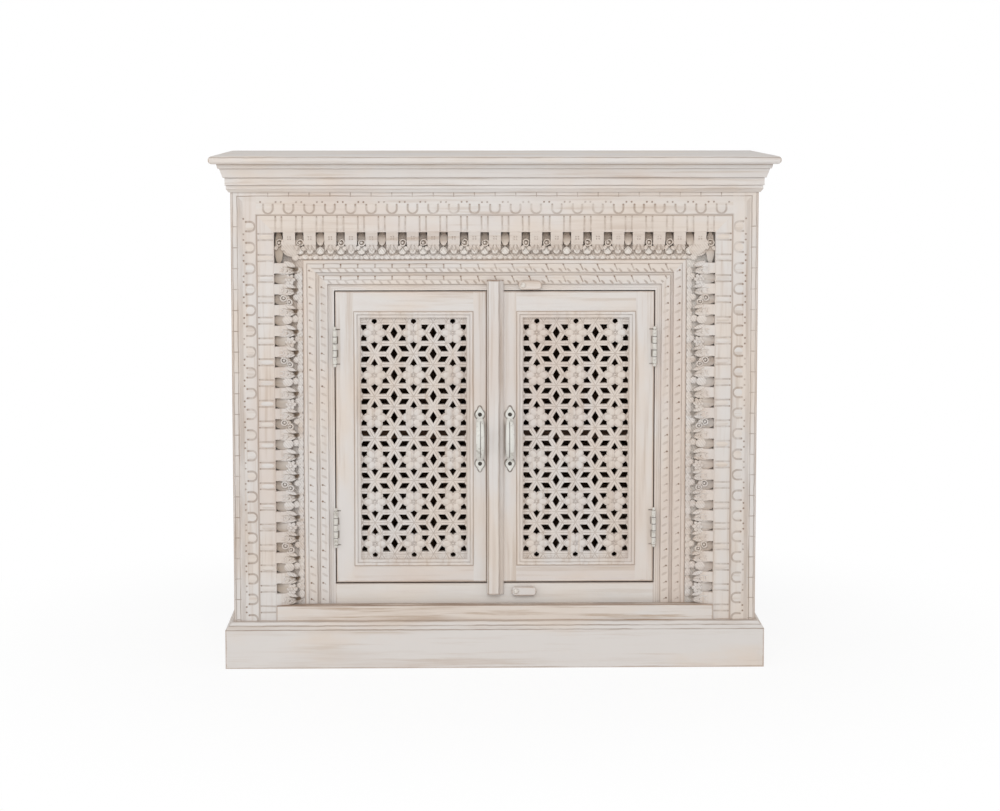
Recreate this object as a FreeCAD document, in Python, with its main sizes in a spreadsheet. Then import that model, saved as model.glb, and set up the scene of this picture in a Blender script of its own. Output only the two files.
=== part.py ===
"""A whitewashed cabinet with two pierced doors in a carved surround, in millimetres.

The origin is at the middle of the base. +Z is up, +X is to the right and the doors face -Y.
Every size is a cell of the sheet, and the places of the pieces are worked out from those cells.
"""
import FreeCAD, Part
import math
import os
import re
import Sketcher
from FreeCAD import Placement, Rotation, Vector

SIZES = {
    # The case as a whole.
    "case_width": 926,
    "case_depth": 365,
    "case_height": 908,
    "panel_thickness": 18,
    "back_thickness": 10,
    "frame_thickness": 45,
    "overrun": 5,
    # The top board and the cornice under it.
    "top_overhang": 35,
    "top_thickness": 14,
    "nose_radius": 6.5,
    "cornice_height": 50,
    "cornice_reach": 22,
    "cornice_lip_drop": 8,
    "cornice_lip_foot_reach": 20,
    "cornice_cove_reach": 17.5,
    "cornice_cove_foot_reach": 12,
    "cornice_cove_drop": 24,
    "cornice_flat_reach": 9,
    "cornice_flat_drop": 37.5,
    "cornice_toe_reach": 7,
    "cornice_toe_drop": 44,
    "cornice_foot_reach": 2.5,
    # The plinth, with its stepped upper edge.
    "plinth_height": 82,
    "plinth_reach": 15,
    "plinth_inset": 15,
    "plinth_edge_drop": 13,
    "plinth_step_reach": 9,
    "plinth_step_drop": 6,
    "plinth_neck_reach": 3.5,
    "corner_block_width": 40,
    # The surround: its outer frame, the bottom of its opening, and its bands from there outwards.
    "post_width": 44.5,
    "head_height": 89.5,
    "opening_bottom": 145,
    "fillet_width": 11,
    "rope_width": 15.5,
    "rope_gap": 5.5,
    "bead_width": 7,
    "carved_width": 49.5,
    "arcade_width": 30.5,
    "inner_recess": 22,
    "rope_height": 3,
    "bead_height": 4,
    "carved_recess": 26,
    "carved_foot_recess": 20,
    "bottom_rail_height": 28,
    # The arcade, a strip with fingers between open hollows.
    "arcade_recess": 2,
    "arcade_thickness": 14,
    "finger_length": 22.5,
    "finger_slope": 8,
    "hollow_width": 15,
    "hollow_pitch": 36.15,
    "hollow_margin": 38,
    "side_hollow_width": 19,
    "side_hollow_pitch": 36.8,
    # The inside of the case.
    "shelf_height": 402,
    "shelf_thickness": 15,
    "shelf_fit": 0.5,
    "shelf_setback": 5,
    "cleat_width": 20,
    "cleat_setback": 12,
    # The doors.
    "door_fit": 2,
    "door_sill_fit": 3,
    "door_recess": 21,
    "door_thickness": 22,
    "meeting_shift": 14.5,
    "meeting_gap": 1,
    "meeting_bevel": 1.5,
    "meeting_stile_reach": 38,
    "hinge_stile_width": 32,
    "door_top_rail": 35,
    "door_bottom_rail": 29,
    # The pierced panels and the mouldings round them.
    "panel_recess": 6,
    "pierced_thickness": 10,
    "moulding_width": 12,
    "moulding_height": 5,
    "moulding_step_width": 6,
    "moulding_step_height": 2,
    "column_pitch": 34.7,
    "row_pitch": 37.8,
    "bar_width": 8.4,
    "petal_reach": 12.6,
    "petal_radius": 7.6,
    "side_hole_reach": 23.7,
    "end_hole_reach": 20.2,
    "end_hole_radius": 4.8,
    # The strip that covers the joint of the doors.
    "strip_width": 29.4,
    "strip_bottom": 126.5,
    "strip_top_fit": 0.5,
    "strip_lap": 8,
    "strip_thickness": 10,
    "strip_edge_thickness": 5,
    "strip_flat_start": 2.5,
    "strip_flat_end": 20.5,
    "strip_bevel": 2,
    # The hinges, each with five knuckles.
    "hinge_length": 60,
    "hinge_inset": 98,
    "knuckle_radius": 3.75,
    "knuckle_count": 5,
    "knuckle_fit": 0.2,
    "knuckle_gap": 0.25,
    "pin_radius": 1.5,
    "pin_fit": 0.1,
    "pin_tip_radius": 3,
    "leaf_thickness": 0.8,
    "leaf_depth": 21,
    # The turn buttons.
    "button_radius": 8,
    "button_thickness": 7,
    "button_edge": 1,
    "button_fit": 0.3,
    "top_button_reach": 33,
    "top_button_side": 49.7,
    "top_button_rise": 9.6,
    "bottom_button_reach": 36,
    "bottom_button_side": 37.7,
    "bottom_button_drop": 13.6,
    "button_screw_radius": 2,
    "button_screw_grip": 14,
    "button_head_radius": 4.5,
    "button_head_height": 1.6,
    # The bow handles.
    "handle_span": 88,
    "handle_ear_radius": 7.8,
    "handle_ear_point": 14.3,
    "handle_ear_thickness": 3,
    "handle_bow_half": 37,
    "handle_projection": 26,
    "handle_grip_width": 15,
    "handle_neck_width": 9.5,
    "handle_grip_thickness": 6,
    "handle_neck_thickness": 4,
    "handle_screw_radius": 2,
    "handle_screw_grip": 12,
    "handle_head_radius": 3.6,
    "handle_head_height": 1.2,
    "screw_fit": 0.1,
}

doc = FreeCAD.newDocument("CarvedCabinet")
sheet = doc.addObject("Spreadsheet::Sheet", "Sizes")
for row, (alias, number) in enumerate(SIZES.items(), start=1):
    sheet.set(f"A{row}", alias)
    sheet.set(f"B{row}", str(number))
    sheet.setAlias(f"B{row}", alias)
doc.recompute()

# Places that several pieces share, written in the sheet's sizes.
FRONT = "((top_overhang - case_depth) / 2)"
BACK = "((top_overhang + case_depth) / 2)"
SIDE = "(case_width / 2)"
CASE_TOP = "(case_height - top_thickness)"
FRAME_BACK = f"({FRONT} + frame_thickness)"
INNER_WIDTH = "(fillet_width + rope_width * 2 + rope_gap + bead_width)"
ARCADE_REACH = f"({INNER_WIDTH} + carved_width + arcade_width)"
OPENING_SIDE = f"({SIDE} - post_width - {ARCADE_REACH})"
OPENING_TOP = f"({CASE_TOP} - head_height - {ARCADE_REACH})"
COMB_WIDTH = "(arcade_width + finger_length)"
DOOR_SIDE = f"({OPENING_SIDE} - door_fit)"
DOOR_BOTTOM = "(opening_bottom + door_sill_fit)"
DOOR_TOP = f"({OPENING_TOP} - door_fit)"
DOOR_FACE = f"({FRONT} + door_recess)"
DOOR_BACK = f"({DOOR_FACE} + door_thickness)"
HINGE_STILE_EDGE = f"({DOOR_SIDE} - hinge_stile_width)"
PANEL_BOTTOM = f"({DOOR_BOTTOM} + door_bottom_rail)"
PANEL_TOP = f"({DOOR_TOP} - door_top_rail)"
PANEL_FACE = f"({DOOR_FACE} + panel_recess)"
DOOR_MIDDLE = f"(({PANEL_BOTTOM} + {PANEL_TOP}) / 2)"
PANEL_CENTRE = f"((meeting_stile_reach + {HINGE_STILE_EDGE}) / 2)"
RIGHT_MEETING_EDGE = "(meeting_gap / 2 - meeting_shift)"
LEFT_MEETING_EDGE = "(meeting_gap / 2 + meeting_shift)"
STRIP_EDGE = f"({RIGHT_MEETING_EDGE} + strip_width)"
RIGHT_HANDLE = f"(({STRIP_EDGE} + meeting_stile_reach) / 2)"
LEFT_HANDLE = f"(({LEFT_MEETING_EDGE} + meeting_stile_reach) / 2)"
HINGE_SIDE = f"({OPENING_SIDE} - door_fit / 2)"
HINGE_LINE = f"({DOOR_FACE} - knuckle_radius - knuckle_gap)"

# Where the sections of a handle's bow lie, as shares of half its length from its middle.
SECTION_SHARES = (-1, -0.7, -0.35, 0, 0.35, 0.7, 1)
# How near a border counts as at it, as a share of the piece's thickness.
NEAR_SHARE = 0.01

pieces = []


def bound(text):
    """Points each word of an expression, but not a function's name, at the sheet's cell."""
    return re.sub(r"[a-z]\w+\b(?!\()", r"Sizes.\g<0>", text)


def value(text):
    """Works out an expression in the sheet's sizes."""
    return float(sheet.evalExpression(bound(text)))


def bind(item, **expressions):
    """Ties properties of an object to the sheet."""
    for name, text in expressions.items():
        item.setExpression(name, bound(text))
    return item


def set_place(item, place, turn=Rotation()):
    """Turns an object about its own origin and ties where that origin lies."""
    item.Placement = Placement(Vector(), turn)
    for axis, text in zip("xyz", place):
        item.setExpression(f"Placement.Base.{axis}", bound(text))
    return item


def keep(item, label):
    """Names a finished sub-part."""
    item.Label = label
    pieces.append(item)
    return item


def box(name, x, y, z):
    """Adds a board between two ends on each axis."""
    item = doc.addObject("Part::Box", name)
    for size, (low, high) in zip(("Length", "Width", "Height"), (x, y, z)):
        item.setExpression(size, bound(f"({high}) - ({low})"))
    return set_place(item, (x[0], y[0], z[0]))


def board(label, x, y, z):
    return keep(box(label, x, y, z), label)


def group(label, items):
    """Puts separate solids of one kind in one sub-part."""
    item = doc.addObject("Part::Compound", label)
    item.Links = items
    return keep(item, label)


def mirrored(source, name, normal=Vector(1, 0, 0), base=Vector()):
    item = doc.addObject("Part::Mirroring", name)
    item.Source = source
    item.Normal = normal
    item.Base = base
    return item


def both_sides(name, right):
    """Keeps a right-hand piece and its mirror image on the left."""
    keep(right, f"right_{name}")
    return keep(mirrored(right, f"left_{name}"), f"left_{name}")


def new_body(name, place, turn=Rotation()):
    return set_place(doc.addObject("PartDesign::Body", name), place, turn)


def origin_part(body, role):
    return next(item for item in body.Origin.OriginFeatures if item.Role == role)


def locate(drawing, edge, end, x, y):
    """Ties one point of a sketch to the sketch's own origin."""
    for kind, text in (("DistanceX", x), ("DistanceY", y)):
        rule = drawing.addConstraint(Sketcher.Constraint(kind, -1, 1, edge, end, value(text)))
        drawing.setExpression(f"Constraints[{rule}]", bound(text))


def join(drawing, first, second):
    drawing.addConstraint(Sketcher.Constraint("Coincident", first, 2, second, 1))


def new_sketch(body, plane, name):
    drawing = body.newObject("Sketcher::SketchObject", name)
    drawing.AttachmentSupport = (origin_part(body, plane), [""])
    drawing.MapMode = "FlatFace"
    return drawing


def outline(body, plane, name, *loops):
    """Draws closed outlines of straight edges, each corner tied to the sheet."""
    drawing = new_sketch(body, plane, name)
    for points in loops:
        corners = [Vector(value(x), value(y), 0) for x, y in points]
        first = drawing.GeometryCount
        for here, there in zip(corners, corners[1:] + corners[:1]):
            drawing.addGeometry(Part.LineSegment(here, there))
        for step, (x, y) in enumerate(points):
            join(drawing, first + step, first + (step + 1) % len(points))
            locate(drawing, first + step, 1, x, y)
    return drawing


def rectangle(left, right, low, high):
    return [(left, low), (right, low), (right, high), (left, high)]


def circles(body, plane, name, *rounds):
    """Draws circles, each given as its middle and its radius."""
    drawing = new_sketch(body, plane, name)
    for x, y, radius in rounds:
        middle = Vector(value(x), value(y), 0)
        edge = drawing.addGeometry(Part.Circle(middle, Vector(0, 0, 1), value(radius)))
        locate(drawing, edge, 3, x, y)
        rule = drawing.addConstraint(Sketcher.Constraint("Radius", edge, value(radius)))
        drawing.setExpression(f"Constraints[{rule}]", bound(radius))
    return drawing


def capsule(body, plane, name, length, radius):
    """Draws a bar with round ends, from the sketch's origin along its first axis."""
    drawing = new_sketch(body, plane, name)
    far, half = value(length), value(radius)
    lower = drawing.addGeometry(Part.LineSegment(Vector(0, -half, 0), Vector(far, -half, 0)))
    far_circle = Part.Circle(Vector(far, 0, 0), Vector(0, 0, 1), half)
    tail = drawing.addGeometry(Part.ArcOfCircle(far_circle, -math.pi / 2, math.pi / 2))
    upper = drawing.addGeometry(Part.LineSegment(Vector(far, half, 0), Vector(0, half, 0)))
    near_circle = Part.Circle(Vector(), Vector(0, 0, 1), half)
    head = drawing.addGeometry(Part.ArcOfCircle(near_circle, math.pi / 2, math.pi * 3 / 2))
    for first, second in ((lower, tail), (tail, upper), (upper, head), (head, lower)):
        join(drawing, first, second)
    locate(drawing, lower, 1, "0", f"-{radius}")
    locate(drawing, lower, 2, length, f"-{radius}")
    locate(drawing, upper, 1, length, radius)
    locate(drawing, upper, 2, "0", radius)
    for arc, place in ((tail, length), (head, "0")):
        rule = drawing.addConstraint(Sketcher.Constraint("DistanceX", -1, 1, arc, 3, value(place)))
        drawing.setExpression(f"Constraints[{rule}]", bound(place))
    return drawing


def pad(body, drawing, length):
    """Raises a sketch along its own normal."""
    feature = body.newObject("PartDesign::Pad", f"{drawing.Name}_pad")
    feature.Profile = drawing
    body.Tip = feature
    return bind(feature, Length=length)


def cut_through(body, drawing):
    """Cuts a sketch through the whole body, both ways."""
    feature = body.newObject("PartDesign::Pocket", f"{drawing.Name}_cut")
    feature.Profile = drawing
    feature.Type = "ThroughAll"
    feature.SideType = "Symmetric"
    body.Tip = feature
    return feature


def drill(body, drawing, depth):
    """Cuts a sketch into the body, against the sketch's normal."""
    feature = body.newObject("PartDesign::Pocket", f"{drawing.Name}_drill")
    feature.Profile = drawing
    body.Tip = feature
    return bind(feature, Length=depth)


def repeat(body, features, role, pitch, count):
    """Repeats features along one of the body's axes at an even pitch."""
    pattern = body.newObject("PartDesign::LinearPattern", f"{features[0].Name}_row")
    pattern.Originals = features
    pattern.Direction = (origin_part(body, role), [""])
    body.Tip = pattern
    return bind(pattern, Length=f"({pitch}) * ({count} - 1)", Occurrences=count)


def soften(body, kind, size, chosen):
    """Rounds or bevels the edges of the body whose middle a test picks out."""
    doc.recompute()
    base = body.Tip
    found = [f"Edge{number}" for number, edge in enumerate(base.Shape.Edges, start=1)
             if chosen(edge.BoundBox)]
    feature = body.newObject(f"PartDesign::{kind}", f"{body.Name}_{kind.lower()}")
    feature.Base = (base, found)
    body.Tip = feature
    return bind(feature, **{"Radius" if kind == "Fillet" else "Size": size})


# Each band of the surround is a rail whose own X runs along it, whose Y is the depth behind
# the case's front and whose Z falls from 0 at the band's outer edge towards the opening.

def near_mitre(width):
    """The corner that is cut off at the start of a rail."""
    return [("-overrun", "overrun"), ("-overrun", f"-{width} - overrun"),
            (f"{width} + overrun", f"-{width} - overrun")]


def far_mitre(length, width):
    return [(f"{length} + overrun", "overrun"), (f"{length} + overrun", f"-{width} - overrun"),
            (f"{length} - {width} - overrun", f"-{width} - overrun")]


def surround_rail(name, profile, reach, width, side):
    """Makes the top rail of a band, or with side its right-hand rail, down to the plinth."""
    corner_x = f"({OPENING_SIDE} + {reach})"
    corner_z = f"({OPENING_TOP} + {reach})"
    if side:
        length = f"({corner_z} - plinth_height)"
        body = new_body(name, (corner_x, FRONT, corner_z), Rotation(Vector(0, 1, 0), 90))
        mitres = [near_mitre(width)]
    else:
        length = f"({corner_x} * 2)"
        body = new_body(name, (f"-{corner_x}", FRONT, corner_z))
        mitres = [near_mitre(width), far_mitre(length, width)]
    pad(body, outline(body, "YZ_Plane", f"{name}_section", profile), length)
    cut_through(body, outline(body, "XZ_Plane", f"{name}_mitre", *mitres))
    return body, length


def surround_band(name, profile, reach, width):
    """Makes a plain band: its top, its right side and the mirror image of that side."""
    keep(surround_rail(f"{name}_top", profile, reach, width, side=False)[0], f"{name}_top")
    both_sides(name, surround_rail(f"{name}_side", profile, reach, width, side=True)[0])


def outer_frame():
    inner_edge = f"{OPENING_SIDE} + {ARCADE_REACH}"
    depth = (FRONT, FRAME_BACK)
    board("outer_frame_top", (f"-({inner_edge})", inner_edge), depth,
          (f"{OPENING_TOP} + {ARCADE_REACH}", CASE_TOP))
    both_sides("outer_frame", box("outer_frame_side", (inner_edge, SIDE), depth,
                                  ("plinth_height", CASE_TOP)))


def arcade():
    """The strip of flutes, whose fingers reach over the carved band between open hollows."""
    back = "arcade_recess + arcade_thickness"
    profile = [("arcade_recess", "0"), ("arcade_recess", "-arcade_width"),
               ("arcade_recess + finger_slope", f"-{COMB_WIDTH}"), (back, f"-{COMB_WIDTH}"),
               (back, "0")]
    half_length = f"({OPENING_SIDE} + {ARCADE_REACH})"
    top_count = f"(floor(({half_length} - hollow_margin) * 2 / hollow_pitch) + 1)"
    corner = f"({half_length} - hollow_pitch * ({top_count} - 1) / 2)"
    side_room = (f"({OPENING_TOP} + {ARCADE_REACH} - plinth_height - bottom_rail_height - {corner}"
                 " - side_hollow_width / 2)")
    side_count = f"(floor({side_room} / side_hollow_pitch) + 1)"
    finger_zone = (f"-{COMB_WIDTH} - overrun", "-arcade_width")
    for side, pitch, width, count in ((False, "hollow_pitch", "hollow_width", top_count),
                                      (True, "side_hollow_pitch", "side_hollow_width", side_count)):
        name = "arcade_side" if side else "arcade_top"
        body, length = surround_rail(name, profile, ARCADE_REACH, COMB_WIDTH, side)
        hollow = rectangle(f"{corner} - {width} / 2", f"{corner} + {width} / 2", *finger_zone)
        cut = cut_through(body, outline(body, "XZ_Plane", f"{name}_hollow", hollow))
        repeat(body, [cut], "X_Axis", pitch, count)
        if side:
            notch = rectangle(f"{length} - bottom_rail_height", f"{length} + overrun", *finger_zone)
            corner_hollow = rectangle(corner, f"{corner} + {pitch}", *finger_zone)
            cut_through(body, outline(body, "XZ_Plane", f"{name}_notch", notch, corner_hollow))
            both_sides("arcade", body)
        else:
            keep(body, name)


def carved_band():
    """The ground of the deep carving, which slopes up towards the rope bands."""
    hidden = "arcade_recess + arcade_thickness"
    width = "(arcade_width + carved_width)"
    profile = [(hidden, "0"), (hidden, "-arcade_width"), ("carved_recess", "-arcade_width"),
               ("carved_foot_recess", f"-{width}"), ("frame_thickness", f"-{width}"),
               ("frame_thickness", "0")]
    surround_band("carved_panel", profile, ARCADE_REACH, width)


def inner_frame():
    """The frame next to the doors: a bead, two raised bands for the rope carving, a fillet."""
    bead = "inner_recess - bead_height"
    rope = "inner_recess - rope_height"
    first_rope = "(-bead_width - rope_width)"
    second_rope = f"({first_rope} - rope_gap)"
    fillet = f"({second_rope} - rope_width)"
    profile = [(bead, "0"), (bead, "-bead_width"), (rope, "-bead_width"), (rope, first_rope),
               ("inner_recess", first_rope), ("inner_recess", second_rope), (rope, second_rope),
               (rope, fillet), ("inner_recess", fillet), ("inner_recess", f"-{INNER_WIDTH}"),
               ("frame_thickness", f"-{INNER_WIDTH}"), ("frame_thickness", "0")]
    top, length = surround_rail("inner_frame_top", profile, INNER_WIDTH, INNER_WIDTH, side=False)
    hole = circles(top, "XZ_Plane", "button_hole",
                   (f"{length} / 2 + top_button_side", f"top_button_rise - {INNER_WIDTH}",
                    "button_screw_radius + screw_fit"))
    drill(top, hole, "inner_recess + button_screw_grip")
    keep(top, "inner_frame_top")
    both_sides("inner_frame", surround_rail("inner_frame_side", profile, INNER_WIDTH, INNER_WIDTH,
                                            side=True)[0])


def sill_and_bottom_rail():
    """The sill under the doors, and the plain rail that closes the surround at the bottom."""
    sill = new_body("door_sill", ("0", f"{FRONT} + inner_recess", "plinth_height"))
    face = rectangle(f"-{OPENING_SIDE}", OPENING_SIDE, "0", "opening_bottom - plinth_height")
    grain = pad(sill, outline(sill, "XZ_Plane", "sill_face", face), "frame_thickness - inner_recess")
    grain.Reversed = True
    hole = circles(sill, "XZ_Plane", "sill_hole",
                   ("bottom_button_side", "opening_bottom - bottom_button_drop - plinth_height",
                    "button_screw_radius + screw_fit"))
    drill(sill, hole, "button_screw_grip")
    keep(sill, "door_sill")
    reach = f"{OPENING_SIDE} + {INNER_WIDTH} + carved_width"
    board("bottom_rail", (f"-({reach})", reach), (FRONT, f"{FRONT} + inner_recess - bead_height"),
          ("plinth_height", "plinth_height + bottom_rail_height"))


def edge_moulding(name, profile, place, length, reach, inset, corner, side):
    """Makes a moulding whose own -Y faces outwards, mitred where it meets the next side."""
    turn = Rotation(Vector(0, 0, 1), 90) if side else Rotation()
    body = new_body(name, place, turn)
    pad(body, outline(body, "YZ_Plane", f"{name}_section", profile), length)
    start = [("-overrun", f"-{reach} - overrun"), (f"{corner} + overrun", f"{inset} + overrun"),
             ("-overrun", f"{inset} + overrun")]
    end = [(f"{length} + overrun", f"-{reach} - overrun"),
           (f"{length} - {corner} - overrun", f"{inset} + overrun"),
           (f"{length} + overrun", f"{inset} + overrun")]
    mitres = [start] if side else [start, end]
    cut_through(body, outline(body, "XY_Plane", f"{name}_mitre", *mitres))
    return body


def wrap_moulding(name, profile, reach, inset, height):
    """Runs a moulding along the front and both sides of the case."""
    corner = f"({reach} + {inset})"
    width = f"(case_width + {reach} * 2)"
    keep(edge_moulding(f"{name}_front", profile, (f"-({SIDE} + {reach})", FRONT, height), width,
                       reach, inset, corner, side=False), f"{name}_front")
    both_sides(name, edge_moulding(f"{name}_side", profile, (SIDE, f"{FRONT} - {reach}", height),
                                   f"(case_depth + {reach})", reach, inset, corner, side=True))


def cornice():
    profile = [("0", "0"), ("-cornice_reach", "0"), ("-cornice_lip_foot_reach", "-cornice_lip_drop"),
               ("-cornice_cove_reach", "-cornice_lip_drop"),
               ("-cornice_cove_foot_reach", "-cornice_cove_drop"),
               ("-cornice_flat_reach", "-cornice_cove_drop"),
               ("-cornice_flat_reach", "-cornice_flat_drop"),
               ("-cornice_toe_reach", "-cornice_flat_drop"),
               ("-cornice_toe_reach", "-cornice_toe_drop"),
               ("-cornice_foot_reach", "-cornice_height"), ("0", "-cornice_height")]
    wrap_moulding("cornice", profile, "cornice_reach", "0", CASE_TOP)


def plinth():
    edge = "plinth_height - plinth_edge_drop"
    step = "plinth_height - plinth_step_drop"
    profile = [("plinth_inset", "0"), ("-plinth_reach", "0"), ("-plinth_reach", edge),
               ("-plinth_step_reach", step), ("-plinth_neck_reach", "plinth_height"),
               ("plinth_inset", "plinth_height")]
    wrap_moulding("plinth", profile, "plinth_reach", "plinth_inset", "0")
    inside = f"({SIDE} - plinth_inset)"
    board("plinth_back", (f"-{inside}", inside), (f"{BACK} - panel_thickness", BACK),
          ("0", "plinth_height"))
    blocks = []
    front_end = (f"{FRONT} + plinth_inset", f"{FRONT} + plinth_inset + corner_block_width")
    rear_end = (f"{BACK} - panel_thickness - corner_block_width", f"{BACK} - panel_thickness")
    for name, depth in (("front", front_end), ("rear", rear_end)):
        block = box(f"{name}_block", (f"{inside} - corner_block_width", inside), depth,
                    ("0", "plinth_height"))
        blocks += [block, mirrored(block, f"left_{name}_block")]
    group("corner_blocks", blocks)


def top_board():
    edge = f"({SIDE} + top_overhang)"
    body = new_body("top_board", ("0", "0", CASE_TOP))
    face = rectangle(f"-{edge}", edge, f"{FRONT} - top_overhang", BACK)
    pad(body, outline(body, "XY_Plane", "top_face", face), "top_thickness")
    side, front = value(edge), value(f"{FRONT} - top_overhang")
    tiny = value("top_thickness") * NEAR_SHARE
    soften(body, "Fillet", "nose_radius", lambda at: at.ZLength < tiny and (
        at.YMax < front + tiny or at.XMin > side - tiny or at.XMax < tiny - side))
    keep(body, "top_board")


def carcass():
    inside = f"({SIDE} - panel_thickness)"
    depth = (FRAME_BACK, f"{BACK} - back_thickness")
    both_sides("side_panel", box("side_panel", (inside, SIDE), (FRAME_BACK, BACK),
                                 ("plinth_height", CASE_TOP)))
    board("back_panel", (f"-{inside}", inside), (f"{BACK} - back_thickness", BACK),
          ("plinth_height", CASE_TOP))
    board("bottom_board", (f"-{inside}", inside), depth,
          ("plinth_height", "plinth_height + panel_thickness"))
    shelf_side = f"({inside} - shelf_fit)"
    board("shelf", (f"-{shelf_side}", shelf_side),
          (f"{FRAME_BACK} + shelf_setback", f"{BACK} - back_thickness - shelf_fit"),
          ("shelf_height", "shelf_height + shelf_thickness"))
    for label, top in (("shelf_cleats", "shelf_height"), ("top_cleats", CASE_TOP)):
        cleat = box(f"{label}_right", (f"{inside} - cleat_width", inside),
                    (f"{FRAME_BACK} + cleat_setback", f"{BACK} - back_thickness - cleat_setback"),
                    (f"{top} - cleat_width", top))
        group(label, [cleat, mirrored(cleat, f"{label}_left")])


def pierced_panel(label, side):
    """A board pierced with rhombic holes between star points, and rosettes at every other star.

    Star points stand in columns, and each second column is half a row higher. One rhombic hole
    lies between each two neighbouring points, with its long corners on those points.
    """
    pitch, rise = value("column_pitch"), value("row_pitch")
    width = value(f"{HINGE_STILE_EDGE} - meeting_stile_reach")
    height = value(f"{PANEL_TOP} - {PANEL_BOTTOM}")
    side_room = width / 2 - value("moulding_width + side_hole_reach")
    end_room = height / 2 - value("moulding_width + end_hole_reach + end_hole_radius")
    columns, rows = 1 + 2 * int(side_room / pitch), 1 + 2 * int(end_room / rise)
    petal = Part.Circle(Vector(), Vector(0, 0, 1), value("petal_radius"))
    wide, high = (columns - 1) * pitch / 2, (rows - 1) * rise / 2
    side_limit = wide + value("side_hole_reach")

    def rhombus(start, end):
        """The hole between two star points, drawn in by half a bar on each edge."""
        along = end - start
        middle = (start + end) / 2
        if abs(along.x) < pitch / 2:
            corners = [start, middle + Vector(pitch / 3, 0, 0), end, middle - Vector(pitch / 3, 0, 0)]
        else:
            sign = math.copysign(1, along.x)
            climb = math.copysign(rise / 2, along.y)
            corners = [start, start + Vector(sign * pitch * 2 / 3, 0, 0), end,
                       start + Vector(sign * pitch / 3, climb, 0)]
        face = Part.Wire(Part.makePolygon(corners + corners[:1]))
        return Part.Face(face.makeOffset2D(-value("bar_width") / 2, 2))

    def rosette(centre):
        """Six round petals, each pointing at the middle of three star points."""
        shapes = []
        for aim in (Vector(pitch * 2 / 3, 0, 0), Vector(pitch / 3, rise / 2, 0),
                    Vector(-pitch / 3, rise / 2, 0), Vector(-pitch * 2 / 3, 0, 0),
                    Vector(-pitch / 3, -rise / 2, 0), Vector(pitch / 3, -rise / 2, 0)):
            shape = Part.Face(Part.Wire(petal.toShape()))
            shape.translate(centre + aim.normalize() * value("petal_reach"))
            shapes.append(shape)
        return shapes

    holes = []
    flowers = {(column, row): rosette(Vector(column * pitch - wide, row * rise - high, 0))
               for column in range(0, columns, 2) for row in range(0, rows, 2)}
    for column in range(0, columns, 2):
        for row in range(rows):
            star = Vector(column * pitch - wide, row * rise - high, 0)
            ends = [star + Vector(step * pitch, half * rise / 2, 0)
                    for step in (-1, 1) for half in (-1, 1)]
            if row < rows - 1:
                ends.append(star + Vector(0, rise, 0))
            for end in ends:
                hole = rhombus(star, end)
                trims = flowers.get((column, row), [])
                if end.x == star.x:
                    trims = trims + flowers.get((column, row + 1), [])
                holes.append(hole.cut(trims) if trims else hole)
    for column in range(1, columns, 2):
        for row in range(rows):
            low = Vector(column * pitch - wide, row * rise - high - rise / 2, 0)
            holes.append(rhombus(low, low + Vector(0, rise, 0)))
    for column in range(0, columns, 2):
        for row, sign in ((0, -1), (rows - 1, 1)):
            star = Vector(column * pitch - wide, row * rise - high, 0)
            place = star + Vector(0, sign * value("end_hole_reach"), 0)
            drop = Part.Circle(place, Vector(0, 0, 1), value("end_hole_radius"))
            holes.append(Part.Face(Part.Wire(drop.toShape())).cut(flowers[column, row]))
    trimmed = []
    for hole in holes:
        if hole.BoundBox.XMin < -side_limit or hole.BoundBox.XMax > side_limit:
            zone = Part.makePlane(side_limit * 2, high * 4, Vector(-side_limit, -high * 2, 0))
            hole = hole.common(zone)
        trimmed += hole.Faces
    blank = Part.makePlane(width, height, Vector(-width / 2, -height / 2, 0)).OuterWire
    wires = [blank] + [hole.OuterWire for hole in trimmed]
    drawing = Part.makeFace(wires, "Part::FaceMakerBullseye")
    item = doc.addObject("Part::Feature", label)
    item.Shape = drawing.extrude(Vector(0, 0, value("pierced_thickness")))
    set_place(item, (f"{side} * {PANEL_CENTRE}", f"{PANEL_FACE} + pierced_thickness", DOOR_MIDDLE),
              Rotation(Vector(1, 0, 0), 90))
    keep(item, label)


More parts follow.
